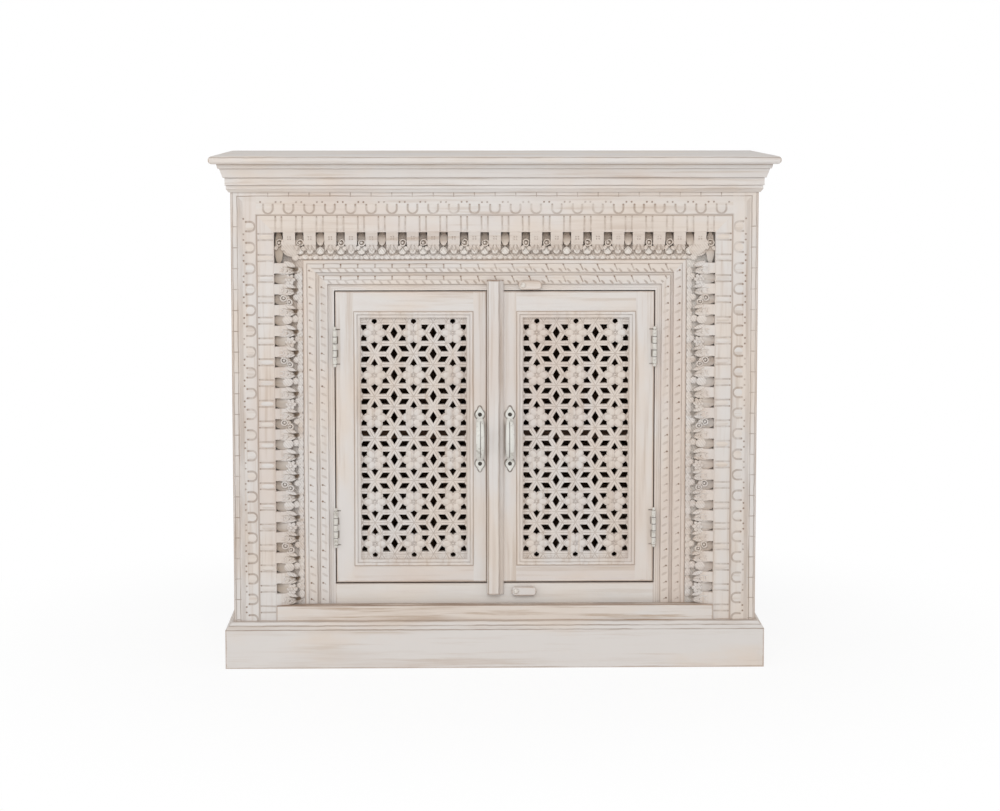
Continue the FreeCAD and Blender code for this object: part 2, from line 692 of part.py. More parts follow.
def handle(label, place):
    """A bow pull with a pointed ear at each end, lofted through oval sections of its grip."""
    half_span, bow_half = value("handle_span / 2"), value("handle_bow_half")
    ear, point = value("handle_ear_radius"), value("handle_ear_point")
    ear_depth = value("handle_ear_thickness")
    rise = value("handle_projection - handle_grip_thickness / 2 - handle_ear_thickness / 2")
    bow_radius = (bow_half ** 2 + rise ** 2) / (2 * rise)
    sweep = math.asin(bow_half / bow_radius)
    sections = []
    for share in SECTION_SHARES:
        angle = share * sweep
        centre = Vector(0, -(rise - bow_radius * (1 - math.cos(angle))) - ear_depth / 2,
                        bow_radius * math.sin(angle))
        swell = math.cos(share * math.pi / 2) ** 0.5
        wide = value("handle_neck_width") + swell * value("handle_grip_width - handle_neck_width")
        thick = value("handle_neck_thickness") + swell * value(
            "handle_grip_thickness - handle_neck_thickness")
        oval = Part.Ellipse(Vector(), wide / 2, thick / 2).toShape()
        oval.Placement = Placement(centre, Rotation(Vector(1, 0, 0), -math.degrees(angle)))
        sections.append(Part.Wire(oval))
    solid = Part.makeLoft(sections, True)
    reach = ear ** 2 / point
    tangent = math.sqrt(ear ** 2 - reach ** 2)
    for sign in (1, -1):
        centre = Vector(0, 0, sign * half_span)
        left = centre + Vector(-tangent, 0, sign * reach)
        right = centre + Vector(tangent, 0, sign * reach)
        tip = centre + Vector(0, 0, sign * point)
        base = centre + Vector(0, 0, -sign * ear)
        edges = [Part.Arc(left, base, right).toShape(), Part.makeLine(right, tip),
                 Part.makeLine(tip, left)]
        plate = Part.Face(Part.Wire(edges)).extrude(Vector(0, -ear_depth, 0))
        hole = Part.makeCylinder(value("handle_screw_radius + screw_fit"), ear_depth * 3,
                                 centre - Vector(0, -ear_depth, 0), Vector(0, -1, 0))
        solid = solid.fuse(plate).cut(hole)
    item = doc.addObject("Part::Feature", label)
    item.Shape = solid.removeSplitter()
    keep(set_place(item, place), label)


def screw(name, place, radius, length, head_radius, head_height):
    """A wood screw whose shank runs back along +Y from under its tapered round head."""
    shank = doc.addObject("Part::Cylinder", f"{name}_shank")
    bind(shank, Radius=radius, Height=f"{length} + {head_height} / 2")
    set_place(shank, (place[0], f"{place[1]} - {head_height} / 2", place[2]),
              Rotation(Vector(1, 0, 0), -90))
    head = doc.addObject("Part::Cone", f"{name}_head")
    bind(head, Radius1=head_radius, Radius2=f"{head_radius} - {head_height}", Height=head_height)
    set_place(head, place, Rotation(Vector(1, 0, 0), 90))
    whole = doc.addObject("Part::Fuse", name)
    whole.Base = head
    whole.Tool = shank
    return whole


def button(label, pivot, back, reach):
    """A wooden turn button, stored with its tail along +X, clear of the doors."""
    body = new_body(label, (pivot[0], back, pivot[1]))
    pad(body, capsule(body, "XZ_Plane", f"{label}_face", f"({reach} - button_radius)",
                      "button_radius"), "button_thickness")
    front = -value("button_thickness")
    soften(body, "Chamfer", "button_edge", lambda at: at.YMax < front * (1 - NEAR_SHARE))
    cut_through(body, circles(body, "XZ_Plane", f"{label}_hole",
                              ("0", "0", "button_screw_radius + screw_fit")))
    keep(body, label)
    return screw(f"{label}_screw", (pivot[0], f"({back} - button_thickness)", pivot[1]),
                 "button_screw_radius", "(button_thickness + button_screw_grip)",
                 "button_head_radius", "button_head_height")


def buttons():
    top = button("top_turn_button", ("top_button_side", f"({OPENING_TOP} + top_button_rise)"),
                 f"({FRONT} + inner_recess - rope_height - button_fit)", "top_button_reach")
    bottom = button("bottom_turn_button",
                    ("bottom_button_side", "(opening_bottom - bottom_button_drop)"),
                    f"({DOOR_FACE} - button_fit)", "bottom_button_reach")
    group("turn_button_screws", [top, bottom])


def door(side_name, side, meeting_edge, handle_place):
    """One door: two stiles, two rails, the pierced panel with its moulding, and a handle."""

    def span(near, far):
        return (near, far) if side > 0 else (f"-({far})", f"-({near})")

    depth = (DOOR_FACE, DOOR_BACK)
    board(f"{side_name}_hinge_stile", span(HINGE_STILE_EDGE, DOOR_SIDE), depth,
          (DOOR_BOTTOM, DOOR_TOP))
    stile = new_body(f"{side_name}_meeting_stile", ("0", DOOR_FACE, DOOR_BOTTOM))
    corners = [(meeting_edge, "0"), (f"({meeting_edge} + meeting_bevel)", "door_thickness"),
               ("meeting_stile_reach", "door_thickness"), ("meeting_stile_reach", "0")]
    corners = [(f"{side} * {x}", y) for x, y in corners]
    pad(stile, outline(stile, "XY_Plane", f"{side_name}_stile_section", corners),
        f"{DOOR_TOP} - {DOOR_BOTTOM}")
    ends = [f"{DOOR_MIDDLE} - {DOOR_BOTTOM} {sign} handle_span / 2" for sign in "+-"]
    drill(stile, circles(stile, "XZ_Plane", f"{side_name}_handle_holes",
                         *((f"{side} * {handle_place}", end, "handle_screw_radius + screw_fit")
                           for end in ends)), "handle_screw_grip + screw_fit")
    keep(stile, f"{side_name}_meeting_stile")
    opening = span("meeting_stile_reach", HINGE_STILE_EDGE)
    board(f"{side_name}_door_top_rail", opening, depth, (PANEL_TOP, DOOR_TOP))
    board(f"{side_name}_door_bottom_rail", opening, depth, (DOOR_BOTTOM, PANEL_BOTTOM))
    pierced_panel(f"{side_name}_pierced_panel", side)

    moulding = new_body(f"{side_name}_panel_moulding", (f"{side} * {PANEL_CENTRE}", PANEL_FACE,
                                                        DOOR_MIDDLE))
    half_width = f"({HINGE_STILE_EDGE} - meeting_stile_reach) / 2"
    half_height = f"({PANEL_TOP} - {PANEL_BOTTOM}) / 2"
    edge = rectangle(f"-{half_width}", half_width, f"-{half_height}", half_height)
    for name, width, rise in (("base", "moulding_width", "moulding_height"),
                              ("step", "moulding_step_width",
                               "moulding_height + moulding_step_height")):
        hole = rectangle(f"{width} - {half_width}", f"{half_width} - {width}",
                         f"{width} - {half_height}", f"{half_height} - {width}")
        pad(moulding, outline(moulding, "XZ_Plane", f"{side_name}_moulding_{name}", edge, hole), rise)
    keep(moulding, f"{side_name}_panel_moulding")

    handle(f"{side_name}_handle", (f"{side} * {handle_place}", DOOR_FACE, DOOR_MIDDLE))
    front = f"({DOOR_FACE} - handle_ear_thickness)"
    screws = [screw(f"{side_name}_{name}_handle_screw",
                    (f"{side} * {handle_place}", front, f"{DOOR_MIDDLE} {sign} handle_span / 2"),
                    "handle_screw_radius", "(handle_ear_thickness + handle_screw_grip)",
                    "handle_head_radius", "handle_head_height")
              for name, sign in (("upper", "+"), ("lower", "-"))]
    group(f"{side_name}_handle_screws", screws)


def cover_strip():
    """The stepped strip on the right-hand door, flush with that door's meeting edge.

    Its top is rebated behind, so that it laps over the lower rope moulding.
    """
    body = new_body("cover_strip", (RIGHT_MEETING_EDGE, DOOR_FACE, "strip_bottom"))
    shoulder = "(strip_flat_end + strip_bevel)"
    corners = [("0", "0"), ("0", "-strip_edge_thickness"), ("strip_flat_start", "-strip_thickness"),
               ("strip_flat_end", "-strip_thickness"), (shoulder, "strip_bevel - strip_thickness"),
               (shoulder, "-strip_edge_thickness"),
               ("strip_width - strip_bevel", "-strip_edge_thickness"),
               ("strip_width", "strip_bevel - strip_edge_thickness"), ("strip_width", "0")]
    shoulder_height = f"({OPENING_TOP} + fillet_width - strip_top_fit - strip_bottom)"
    height = f"({shoulder_height} + strip_lap)"
    pad(body, outline(body, "XY_Plane", "strip_section", corners), height)
    lap = rectangle("inner_recess - rope_height - door_recess - strip_top_fit", "overrun",
                    shoulder_height, f"{height} + overrun")
    cut_through(body, outline(body, "YZ_Plane", "strip_lap_face", lap))
    keep(body, "cover_strip")


def hinge_leaf(name, plate, first_knuckle, knuckles):
    """One leaf of an upper right-hand hinge, with its share of the knuckles.

    The body's origin is on the hinge's axis, at the hinge's lower end.
    """
    body = new_body(name, (HINGE_SIDE, HINGE_LINE, f"({DOOR_TOP} - hinge_inset) - hinge_length / 2"))
    knuckle = "(hinge_length / knuckle_count)"
    clear = "(knuckle_radius + knuckle_gap)"
    step = f"{knuckle} * 2"
    rise = f"{knuckle} - knuckle_fit"
    pad(body, outline(body, "XY_Plane", f"{name}_plate",
                      rectangle(*plate, clear, f"{clear} + leaf_depth")), "hinge_length")
    tab = pad(body, outline(body, "XY_Plane", f"{name}_tab", rectangle(*plate, "0", clear)), rise)
    barrel = pad(body, circles(body, "XY_Plane", f"{name}_barrel", ("0", "0", "knuckle_radius")), rise)
    for drawing in (tab.Profile[0], barrel.Profile[0]):
        bind(drawing, **{"AttachmentOffset.Base.z": f"{knuckle} * {first_knuckle} + knuckle_fit / 2"})
    repeat(body, [tab, barrel], "Z_Axis", step, knuckles)
    cut_through(body, circles(body, "XY_Plane", f"{name}_bore", ("0", "0", "pin_radius + pin_fit")))
    return body


def hinges():
    """Two butt hinges to a door, with their barrels in front of the gap beside it."""
    middle = Vector(0, 0, value(f"({DOOR_TOP} + {DOOR_BOTTOM}) / 2"))
    case_plate = ("(door_fit / 2 - leaf_thickness)", "(door_fit / 2)")
    door_plate = ("-(door_fit / 2)", "(leaf_thickness - door_fit / 2)")
    case_leaf = hinge_leaf("case_leaf", case_plate, 0, "((knuckle_count + 1) / 2)")
    door_leaf = hinge_leaf("door_leaf", door_plate, 1, "((knuckle_count - 1) / 2)")
    bottom = f"({DOOR_TOP} - hinge_inset) - hinge_length / 2"
    rod = doc.addObject("Part::Cylinder", "pin_rod")
    bind(rod, Radius="pin_radius", Height="hinge_length + pin_tip_radius * 2")
    set_place(rod, (HINGE_SIDE, HINGE_LINE, f"{bottom} - pin_tip_radius"))
    tips = []
    for name, place in (("lower", f"{bottom} - pin_tip_radius"),
                        ("upper", f"{bottom} + hinge_length + pin_tip_radius")):
        tip = doc.addObject("Part::Sphere", f"pin_{name}_tip")
        bind(tip, Radius="pin_tip_radius")
        tips.append(set_place(tip, (HINGE_SIDE, HINGE_LINE, place)))
    pin = doc.addObject("Part::MultiFuse", "pin")
    pin.Shapes = [rod] + tips
    for name, upper in (("case_leaves", case_leaf), ("door_leaves", door_leaf), ("hinge_pins", pin)):
        lower = mirrored(upper, f"lower_{name}", Vector(0, 0, 1), middle)
        pair = doc.addObject("Part::Compound", f"{name}_pair")
        pair.Links = [upper, lower]
        both_sides(name, pair)


top_board()
cornice()
outer_frame()
arcade()
carved_band()
inner_frame()
sill_and_bottom_rail()
plinth()
carcass()
door("right", 1, RIGHT_MEETING_EDGE, RIGHT_HANDLE)
door("left", -1, LEFT_MEETING_EDGE, LEFT_HANDLE)
cover_strip()
hinges()
buttons()

doc.recompute()
failed = [item.Label for item in doc.Objects if "Invalid" in item.State or "Error" in item.State]
if failed:
    raise SystemExit(f"these objects failed: {failed}")
os.makedirs("parts", exist_ok=True)
for item in pieces:
    if item.Shape.isNull() or not item.Shape.isValid() or not item.Shape.Solids:
        raise SystemExit(f"{item.Label} has no valid solid")
for item in pieces:
    item.Shape.exportStep(f"parts/{item.Label}.step")
    print(item.Label, len(item.Shape.Solids), round(item.Shape.Volume))
print(len(pieces), "sub-parts")
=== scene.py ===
import math

import bmesh
import bpy
from mathutils import Matrix, Vector


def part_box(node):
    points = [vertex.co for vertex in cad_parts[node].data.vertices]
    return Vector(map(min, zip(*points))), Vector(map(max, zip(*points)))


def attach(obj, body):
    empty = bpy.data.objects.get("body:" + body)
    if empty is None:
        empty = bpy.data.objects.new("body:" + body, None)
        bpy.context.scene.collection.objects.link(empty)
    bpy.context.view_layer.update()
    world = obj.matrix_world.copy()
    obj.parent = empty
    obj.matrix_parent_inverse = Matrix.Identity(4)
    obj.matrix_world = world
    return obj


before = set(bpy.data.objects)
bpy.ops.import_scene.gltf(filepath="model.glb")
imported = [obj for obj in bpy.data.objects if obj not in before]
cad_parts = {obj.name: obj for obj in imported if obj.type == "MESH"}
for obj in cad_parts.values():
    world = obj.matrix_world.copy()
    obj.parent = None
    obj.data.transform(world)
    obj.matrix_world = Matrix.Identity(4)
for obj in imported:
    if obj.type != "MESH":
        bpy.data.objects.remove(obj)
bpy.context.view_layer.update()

# The camera
# It stands about four metres in front of the doors and a little left of them, higher than the top,
# and looks slightly down, as in the photograph.
CAMERA_PLACE = (-0.0696, -4.365, 1.020)
CAMERA_DROP = math.radians(5.104)
CAMERA_TURN = math.radians(1.068)
CAMERA_LENS = 86.31
CAMERA_SHIFT = -0.10
bpy.ops.object.select_all(action="DESELECT")
bpy.ops.object.camera_add(location=CAMERA_PLACE,
                          rotation=(math.pi / 2 - CAMERA_DROP, 0, -CAMERA_TURN))
camera = bpy.context.active_object
camera.name = "camera"
camera.data.lens = CAMERA_LENS
camera.data.shift_y = CAMERA_SHIFT
bpy.context.scene.camera = camera
bpy.context.scene.view_settings.view_transform = "Standard"

# The floor and the light
# The cabinet stands on a seamless white studio floor. One wide soft box hangs in front and above,
# one stands on each side, and white walls fill in the rest.
FLOOR_SIZE = 30
FLOOR_WHITE = (0.97, 0.97, 0.97, 1)
PURE_WHITE = (1, 1, 1, 1)
SHADOW_NEAR = 0.45
SHADOW_FAR = 1.2
SHADOW_SHARE = 0.14
WALL_LIGHT = 0.57
SOFT_BOXES = (("front_light", (-0.3, -3.2, 2.6), 2.2, 45),
              ("left_light", (-3.0, -2.0, 1.5), 1.6, 17),
              ("right_light", (3.0, -1.8, 1.5), 1.6, 12))
CABINET_MIDDLE = Vector((0, 0, 0.5))


class Field:
    """A number, colour or direction that changes over a surface, written as an expression."""

    def __init__(self, tree, socket=None):
        self.tree = tree
        self.socket = socket

    def node(self, kind, settings=None, inputs=None, out=0):
        made = self.tree.nodes.new(kind)
        for name, setting in (settings or {}).items():
            setattr(made, name, setting)
        for name, given in (inputs or {}).items():
            if isinstance(given, Field):
                given.into(made.inputs[name])
            else:
                made.inputs[name].default_value = given
        return Field(self.tree, made.outputs[out])

    def beside(self, out):
        """Another output of the same node."""
        return Field(self.tree, self.socket.node.outputs[out])

    def into(self, socket):
        self.tree.links.new(self.socket, socket)

    def math(self, operation, *others):
        return self.node("ShaderNodeMath", {"operation": operation},
                         dict(enumerate((self, *others))))

    def turned(self, operation, other):
        """The same operation with the other value first."""
        return self.node("ShaderNodeMath", {"operation": operation}, {0: other, 1: self})

    def __add__(self, other):
        return self.math("ADD", other)

    __radd__ = __add__

    def __sub__(self, other):
        return self.math("SUBTRACT", other)

    def __rsub__(self, other):
        return self.turned("SUBTRACT", other)

    def __mul__(self, other):
        return self.math("MULTIPLY", other)

    __rmul__ = __mul__

    def __mod__(self, other):
        return self.math("FLOORED_MODULO", other)

    def __rmod__(self, other):
        return self.turned("FLOORED_MODULO", other)

    def __abs__(self):
        return self.math("ABSOLUTE")

    def root(self):
        return self.math("SQRT")

    def least(self, other):
        return self.math("MINIMUM", other)

    def most(self, other):
        return self.math("MAXIMUM", other)

    def ease(self, start, end):
        """0 at start and 1 at end, with a soft change between them."""
        return self.node("ShaderNodeMapRange", {"interpolation_type": "SMOOTHSTEP"},
                         {0: self, 1: start, 2: end})

    def blend(self, first, second):
        """A colour, from the first where this is 0 to the second where it is 1."""
        return self.node("ShaderNodeMix", {"data_type": "RGBA"}, {0: self, 6: first, 7: second}, out=2)


def seen_itself(start):
    """1 where the camera sees a surface, or sees it in metal or through glass, and 0 for its light."""
    seen = start.node("ShaderNodeLightPath")
    return seen.most(seen.beside("Is Glossy Ray")).most(seen.beside("Is Transmission Ray"))


bpy.ops.object.select_all(action="DESELECT")
bpy.ops.mesh.primitive_plane_add(size=FLOOR_SIZE)
floor = bpy.context.active_object
floor.name = "studio_floor"
floor_paint = bpy.data.materials.new("studio_floor")
floor_paint.use_nodes = True
floor_tree = floor_paint.node_tree
floor_tree.nodes.remove(floor_tree.nodes["Principled BSDF"])
spot = Field(floor_tree).node("ShaderNodeTexCoord", out="Object")
shaded = spot.node("ShaderNodeBsdfDiffuse", inputs={"Color": FLOOR_WHITE})
white = spot.node("ShaderNodeEmission", inputs={"Color": PURE_WHITE})
away = spot.node("ShaderNodeVectorMath", {"operation": "LENGTH"}, {0: spot}, out="Value")
share = seen_itself(spot) * (away.ease(SHADOW_NEAR, SHADOW_FAR) * SHADOW_SHARE + (1 - SHADOW_SHARE))
mixed = spot.node("ShaderNodeMixShader", inputs={0: share, 1: shaded, 2: white})
mixed.into(floor_tree.nodes["Material Output"].inputs["Surface"])
floor.data.materials.append(floor_paint)

world = bpy.data.worlds.new("studio")
world.use_nodes = True
bpy.context.scene.world = world
background = world.node_tree.nodes["Background"]
glow = seen_itself(Field(world.node_tree)) * (1 - WALL_LIGHT) + WALL_LIGHT
glow.into(background.inputs["Strength"])
background.inputs["Color"].default_value = PURE_WHITE

for name, place, size, power in SOFT_BOXES:
    bpy.ops.object.select_all(action="DESELECT")
    aim = CABINET_MIDDLE - Vector(place)
    bpy.ops.object.light_add(type="AREA", location=place,
                             rotation=aim.to_track_quat("-Z", "Y").to_euler())
    light = bpy.context.active_object
    light.name = name
    light.data.shape = "SQUARE"
    light.data.size = size
    light.data.energy = power

# The whitewashed boards
# Mango wood sawn into boards, brushed and limed: a thin white paint that leaves the grain showing in
# tan streaks, with cooler and warmer patches, rubbed through to the wood along the edges.
ALONG_X, ALONG_Y, ALONG_Z = 0, 1, 2
CHALKY_SHINE = 0.3
GRAIN_RELIEF = 0.0006
EDGE_WORN = 0.0006
EDGE_SOUND = 0.0026
EDGE_RAGGED = 0.004
HAND_WOBBLE = 0.0014
FRONT_FADE = 0.002


def tone(red, green, blue):
    """A colour as it looks on a screen, 0 to 255, turned into the light that it gives back."""
    return tuple(((c / 255 + 0.055) / 1.055) ** 2.4 if c > 10 else c / 3294
                 for c in (red, green, blue)) + (1,)


WASH_COOL = tone(216, 211, 207)
WASH_WARM = tone(217, 206, 196)
WASH_PINK = tone(209, 193, 182)
THIN_PAINT = tone(184, 164, 146)
BARE_EDGE = tone(160, 134, 113)
CREVICE = tone(136, 112, 93)
PAINTED_HIGHLIGHT = tone(231, 227, 221)


def repeated(along, pitch, first=0.0):
    """The distance, with its sign, to the nearest of places that come at one pitch."""
    return (along - first + pitch / 2) % pitch - pitch / 2


def radius_to(across, up):
    """How far a place is from a centre, from its distances across and up."""
    return (across * across + up * up).root()


def line(distance, width):
    """1 within half the width of a cut line, and 0 outside it."""
    return abs(distance).ease(width * 0.75, width * 0.3)


def lines_at(along, levels, width):
    """Parallel cut lines of one width, one at each level."""
    drawn = line(along - levels[0], width)
    for level in levels[1:]:
        drawn = drawn.most(line(along - level, width))
    return drawn


def dot(across, up, radius):
    """1 inside a drilled dot and 0 outside it."""
    return radius_to(across, up).ease(radius * 1.2, radius * 0.6)


def new_finish(name):
    """A new finish: its material, its shader, and the places on the piece that it covers."""
    material = bpy.data.materials.new(name)
    material.use_nodes = True
    place = Field(material.node_tree).node("ShaderNodeTexCoord", out="Object")
    return material, material.node_tree.nodes["Principled BSDF"], place


def lay_finish(node, material):
    """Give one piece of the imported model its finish."""
    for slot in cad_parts[node].material_slots:
        slot.material = material


def fibre(place, grain, long_scale, cross_scale, detail, shift=0.0):
    """Noise that is drawn out along the grain of a board."""
    scale = [cross_scale] * 3
    scale[grain] = long_scale
    laid = place.node("ShaderNodeMapping",
                      inputs={"Vector": place, "Location": (shift, shift, shift), "Scale": scale})
    return place.node("ShaderNodeTexNoise",
                      inputs={"Vector": laid, "Scale": 1.0, "Detail": detail, "Roughness": 0.6})


def whitewash(name, low, high, grain, marks=None, depth=None, dirty=0.55, wear=1.0, crown=None,
              streaky=1.0, cool=0.0, grime=CREVICE, front=None):
    """The limed finish for one board from low to high, its grain along one axis, with its carved lines.

    marks works out how dark the cut lines are, and none is cut behind front, a place along Y.
    depth is the place along Y where soiling and painted shade start and where they are full, dirty is
    their strength and grime their colour. crown gives the same two places for a painted highlight on
    what stands out.
    """
    material, shader, place = new_finish(name)
    x = place.node("ShaderNodeSeparateXYZ", inputs={"Vector": place})
    y, z = x.beside("Y"), x.beside("Z")
    clouds = (fibre(place, grain, 3.5, 9, 4, 1.7) - cool).ease(0.40, 0.62)
    blush = (fibre(place, grain, 2.2, 7, 3, 7.3) - cool).ease(0.50, 0.70)
    streaks = fibre(place, grain, 5, 130, 5, 3.1).ease(0.50, 0.72)
    broad_streaks = fibre(place, grain, 2.5, 42, 4, 5.9).ease(0.52, 0.72)
    hairs = fibre(place, grain, 14, 520, 3, 0.4)
    rubbed = fibre(place, grain, 11, 60, 4, 9.2)
    colour = clouds.blend(WASH_COOL, WASH_WARM)
    colour = (blush * 0.55).blend(colour, WASH_PINK)
    colour = (streaks * (0.42 * streaky) + broad_streaks * (0.30 * streaky)).blend(colour, THIN_PAINT)
    # Along an edge two of the three distances to the board's faces are small, and so is the middle one.
    by_x, by_y, by_z = [(at - first).least(last - at)
                        for at, first, last in zip((x, y, z), low, high)]
    edge = by_x.least(by_y).most(by_x.most(by_y).least(by_z))
    edge_wear = (edge + (rubbed - 0.5) * EDGE_RAGGED).ease(EDGE_SOUND, EDGE_WORN)
    colour = (edge_wear * 0.6 * wear).blend(colour, BARE_EDGE)
    height = streaks * -0.25 + hairs * 0.25
    # Painted highlight: lighter toward the front of what stands out.
    if crown:
        colour = (y.ease(*crown) * 0.7).blend(colour, PAINTED_HIGHLIGHT)
    # Darker toward the back along Y: soiling and painted shade in the recesses.
    if depth:
        dirt = (y + (rubbed - 0.5) * (depth[1] - depth[0])).ease(*depth)
        colour = (dirt * dirty).blend(colour, grime)
    if marks:
        unsteady = place.node("ShaderNodeTexNoise", inputs={"Vector": place, "Scale": 45.0, "Detail": 1.0})
        wobble = (unsteady - 0.5) * HAND_WOBBLE
        cut = marks(x + wobble, z + wobble)
        if front is not None:
            cut = cut * y.ease(front, front - FRONT_FADE)
        colour = (cut * (rubbed.ease(0.30, 0.62) * 0.45 + 0.22)).blend(colour, grime)
        height = height - cut * 1.8
    bump = place.node("ShaderNodeBump",
                      inputs={"Strength": 0.5, "Distance": GRAIN_RELIEF, "Height": height})
    colour.into(shader.inputs["Base Color"])
    (streaks * 0.12 + 0.56).into(shader.inputs["Roughness"])
    bump.into(shader.inputs["Normal"])
    shader.inputs["Specular IOR Level"].default_value = CHALKY_SHINE
    return material


def finish_board(node, grain, marks=None, box=None, **settings):
    """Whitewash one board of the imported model. Boards with one box share its edges."""
    low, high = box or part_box(node)
    lay_finish(node, whitewash(node, low, high, grain, marks, **settings))


TOP_BOARD_LINE = 0.9056
SILL_HIGHLIGHT = (-0.1425, -0.1435)
LEDGE_EDGE = (0.1078, 0.1094)
finish_board("top_board", ALONG_X, lambda x, z: line(z - TOP_BOARD_LINE, 0.0014) * 0.9, cool=0.05)
# The sill's front face gets a painted highlight.
finish_board("door_sill", ALONG_X, crown=SILL_HIGHLIGHT)
finish_board("bottom_rail", ALONG_X, lambda x, z: z.ease(*LEDGE_EDGE) * 1.2, streaky=2.8)
for side in ("right", "left"):
    finish_board(f"{side}_side_panel", ALONG_Z)

# The plinth
# Boards mitred round the foot of the case and glued to its corner blocks, with a stepped upper
# edge, where the paint has been rubbed off the step.
PLINTH_STEP_HEAD = 0.0755
PLINTH_STEP_FOOT = 0.0690
PLINTH_EDGE = (0.0800, 0.0818)


def plinth_marks(x, z):
    """The two creases of the step, and the worn edge over it."""
    step = line(z - PLINTH_STEP_HEAD, 0.0016).most(line(z - PLINTH_STEP_FOOT, 0.0018))
    return step.most(z.ease(*PLINTH_EDGE) * 0.8)


finish_board("plinth_front", ALONG_X, plinth_marks, streaky=0.9, cool=0.07)
for side in ("right", "left"):
    finish_board(f"{side}_plinth", ALONG_Y, plinth_marks)

# The cornice
# Lengths of moulding under the top, planed with a lip, a cove, a flat and a toe, and mitred at the
# front corners. Dirt and thin paint lie in the creases between these members.
CORNICE_CREASES = (0.8858, 0.8700, 0.8565, 0.8500)


def cornice_marks(x, z):
    """The creases between the members of the moulding."""
    return lines_at(z, CORNICE_CREASES, 0.0012) * 0.6


finish_board("cornice_front", ALONG_X, cornice_marks)
for side in ("right", "left"):
    finish_board(f"{side}_cornice", ALONG_Y, cornice_marks)

# The outer frame
# Three flat boards mitred at the corners. A reel of two lines with cross ticks runs round them, then
# pairs of drilled dots, and a row of lunettes cut with a gouge that open outwards.
BAND_RISE = 0.386
TOP_PITCH = 0.03615
SIDE_PITCH = 0.0368
SIDE_FIRST = 0.7656
TOP_ROW_END = 0.4155
SIDE_ROW_END = 0.8020
REEL_LINES = (0.4595, 0.4515)
REEL_MIDDLE = 0.4555
RUBBED_ROW = 0.4458
PAIR_SIDE = 0.0135
PAIR_ROW = 0.4410
LUNETTE_CENTRE = 0.4295
LUNETTE_BOW = 0.0085
LUNETTE_OPENS = (0.4375, 0.4360)
LUNETTE_END_SIDE = 0.0083
LUNETTE_END_ROW = 0.4362
LUNETTE_FOOT = 0.4222
LUNETTE_FACE = -0.1646
INNER_LINE = 0.4192
SURROUND = (Vector((-0.463, -0.165, 0.082)), Vector((0.463, -0.120, 0.894)))
NO_EDGES = (Vector((-1, -1, -1)), Vector((1, 1, 2)))


def frame_lines(x, z):
    """The reel, the dots, the lunettes and the inner line, that turn the upper corners together.

    Here and in all that lies inside this frame, reach is how far out a place is: its height above
    BAND_RISE over the doors and its distance from the middle beside them, alike at the mitres.
    """
    across = abs(x)
    up = z - BAND_RISE
    reach = across.most(up)
    beside = (across - up).ease(-0.0004, 0.0004)
    flat = abs(repeated(x, TOP_PITCH)) + (across - TOP_ROW_END).ease(0, 0.001)
    upright = abs(repeated(z, SIDE_PITCH, SIDE_FIRST + SIDE_PITCH / 2)) + (z - SIDE_ROW_END).ease(0, 0.001)
    cell = flat + (upright - flat) * beside
    reel = lines_at(reach, REEL_LINES, 0.0014)
    tick = line(cell, 0.0015) * abs(reach - REEL_MIDDLE).ease(0.0062, 0.0048)
    pair = dot(cell - PAIR_SIDE, reach - PAIR_ROW, 0.0018) * 1.3
    bend = (reach - LUNETTE_CENTRE).least(0.0)
    arc = line(radius_to(cell, bend) - LUNETTE_BOW, 0.0034) * reach.ease(*LUNETTE_OPENS) * 0.8
    ends = dot(cell - LUNETTE_END_SIDE, reach - LUNETTE_END_ROW, 0.0019) * 1.2
    rubbed = line(reach - RUBBED_ROW, 0.0070) * (beside * 0.28 + 0.12)
    inner = line(reach - INNER_LINE, 0.0018) * 0.45
    return reel.most(tick).most(pair).most(arc).most(ends).most(rubbed).most(inner)


finish_board("outer_frame_top", ALONG_X, frame_lines, SURROUND)
for side in ("right", "left"):
    finish_board(f"{side}_outer_frame", ALONG_Z, frame_lines, SURROUND)


def pick(piece, kind, fits):
    """Open the piece for editing and select the points or faces whose middle fits."""
    bpy.context.view_layer.objects.active = piece
    bpy.ops.object.mode_set(mode="EDIT")
    bpy.ops.mesh.select_mode(type=kind)
    bpy.ops.mesh.select_all(action="DESELECT")
    mesh = bmesh.from_edit_mesh(piece.data)
    for item in mesh.verts if kind == "VERT" else mesh.faces:
        middle = item.co if kind == "VERT" else item.calc_center_median()
        item.select_set(fits(middle))
    mesh.select_flush_mode()
    bmesh.update_edit_mesh(piece.data)


def cut_petal(name, length, width, rise, point=0.0, points=10, root=0.002):
    """A carved petal seen from the front, its foot at the origin and its tip upwards.

    It stands rise in front of the origin, and its root goes into the wood behind it. Half the rise
    is its upright side, and a bevel and a slightly domed middle make up the rest.
    """
    bpy.ops.object.select_all(action="DESELECT")
    bpy.ops.mesh.primitive_circle_add(vertices=points, radius=width / 2, fill_type="NGON",
                                      location=(0, root, length / 2), rotation=(math.pi / 2, 0, 0))
    piece = bpy.context.active_object
    piece.name = name
    bpy.ops.object.transform_apply(location=True, rotation=True, scale=True)
    bpy.ops.object.mode_set(mode="EDIT")
    bpy.ops.mesh.select_all(action="SELECT")
    bpy.ops.transform.resize(value=(1, 1, length / width), center_override=(0, 0, length / 2))
    pick(piece, "VERT", lambda at: at.z > length * 0.98)
    bpy.ops.transform.translate(value=(0, 0, point))
    pick(piece, "FACE", lambda at: True)
    bpy.ops.mesh.extrude_region_move(TRANSFORM_OT_translate={"value": (0, -rise * 0.5 - root, 0)})
    bpy.ops.mesh.inset(thickness=width * 0.2, depth=rise * 0.5)
    bpy.ops.mesh.poke(offset=-rise * 0.2)
    bpy.ops.mesh.select_mode(type="EDGE")
    bpy.ops.mesh.select_all(action="DESELECT")
    bpy.ops.mesh.select_non_manifold()
    bpy.ops.mesh.edge_face_add()
    bpy.ops.mesh.select_all(action="SELECT")
    bpy.ops.mesh.normals_make_consistent(inside=False)
    bpy.ops.object.mode_set(mode="OBJECT")
    bpy.ops.object.shade_smooth_by_angle(angle=math.radians(40))
    return piece


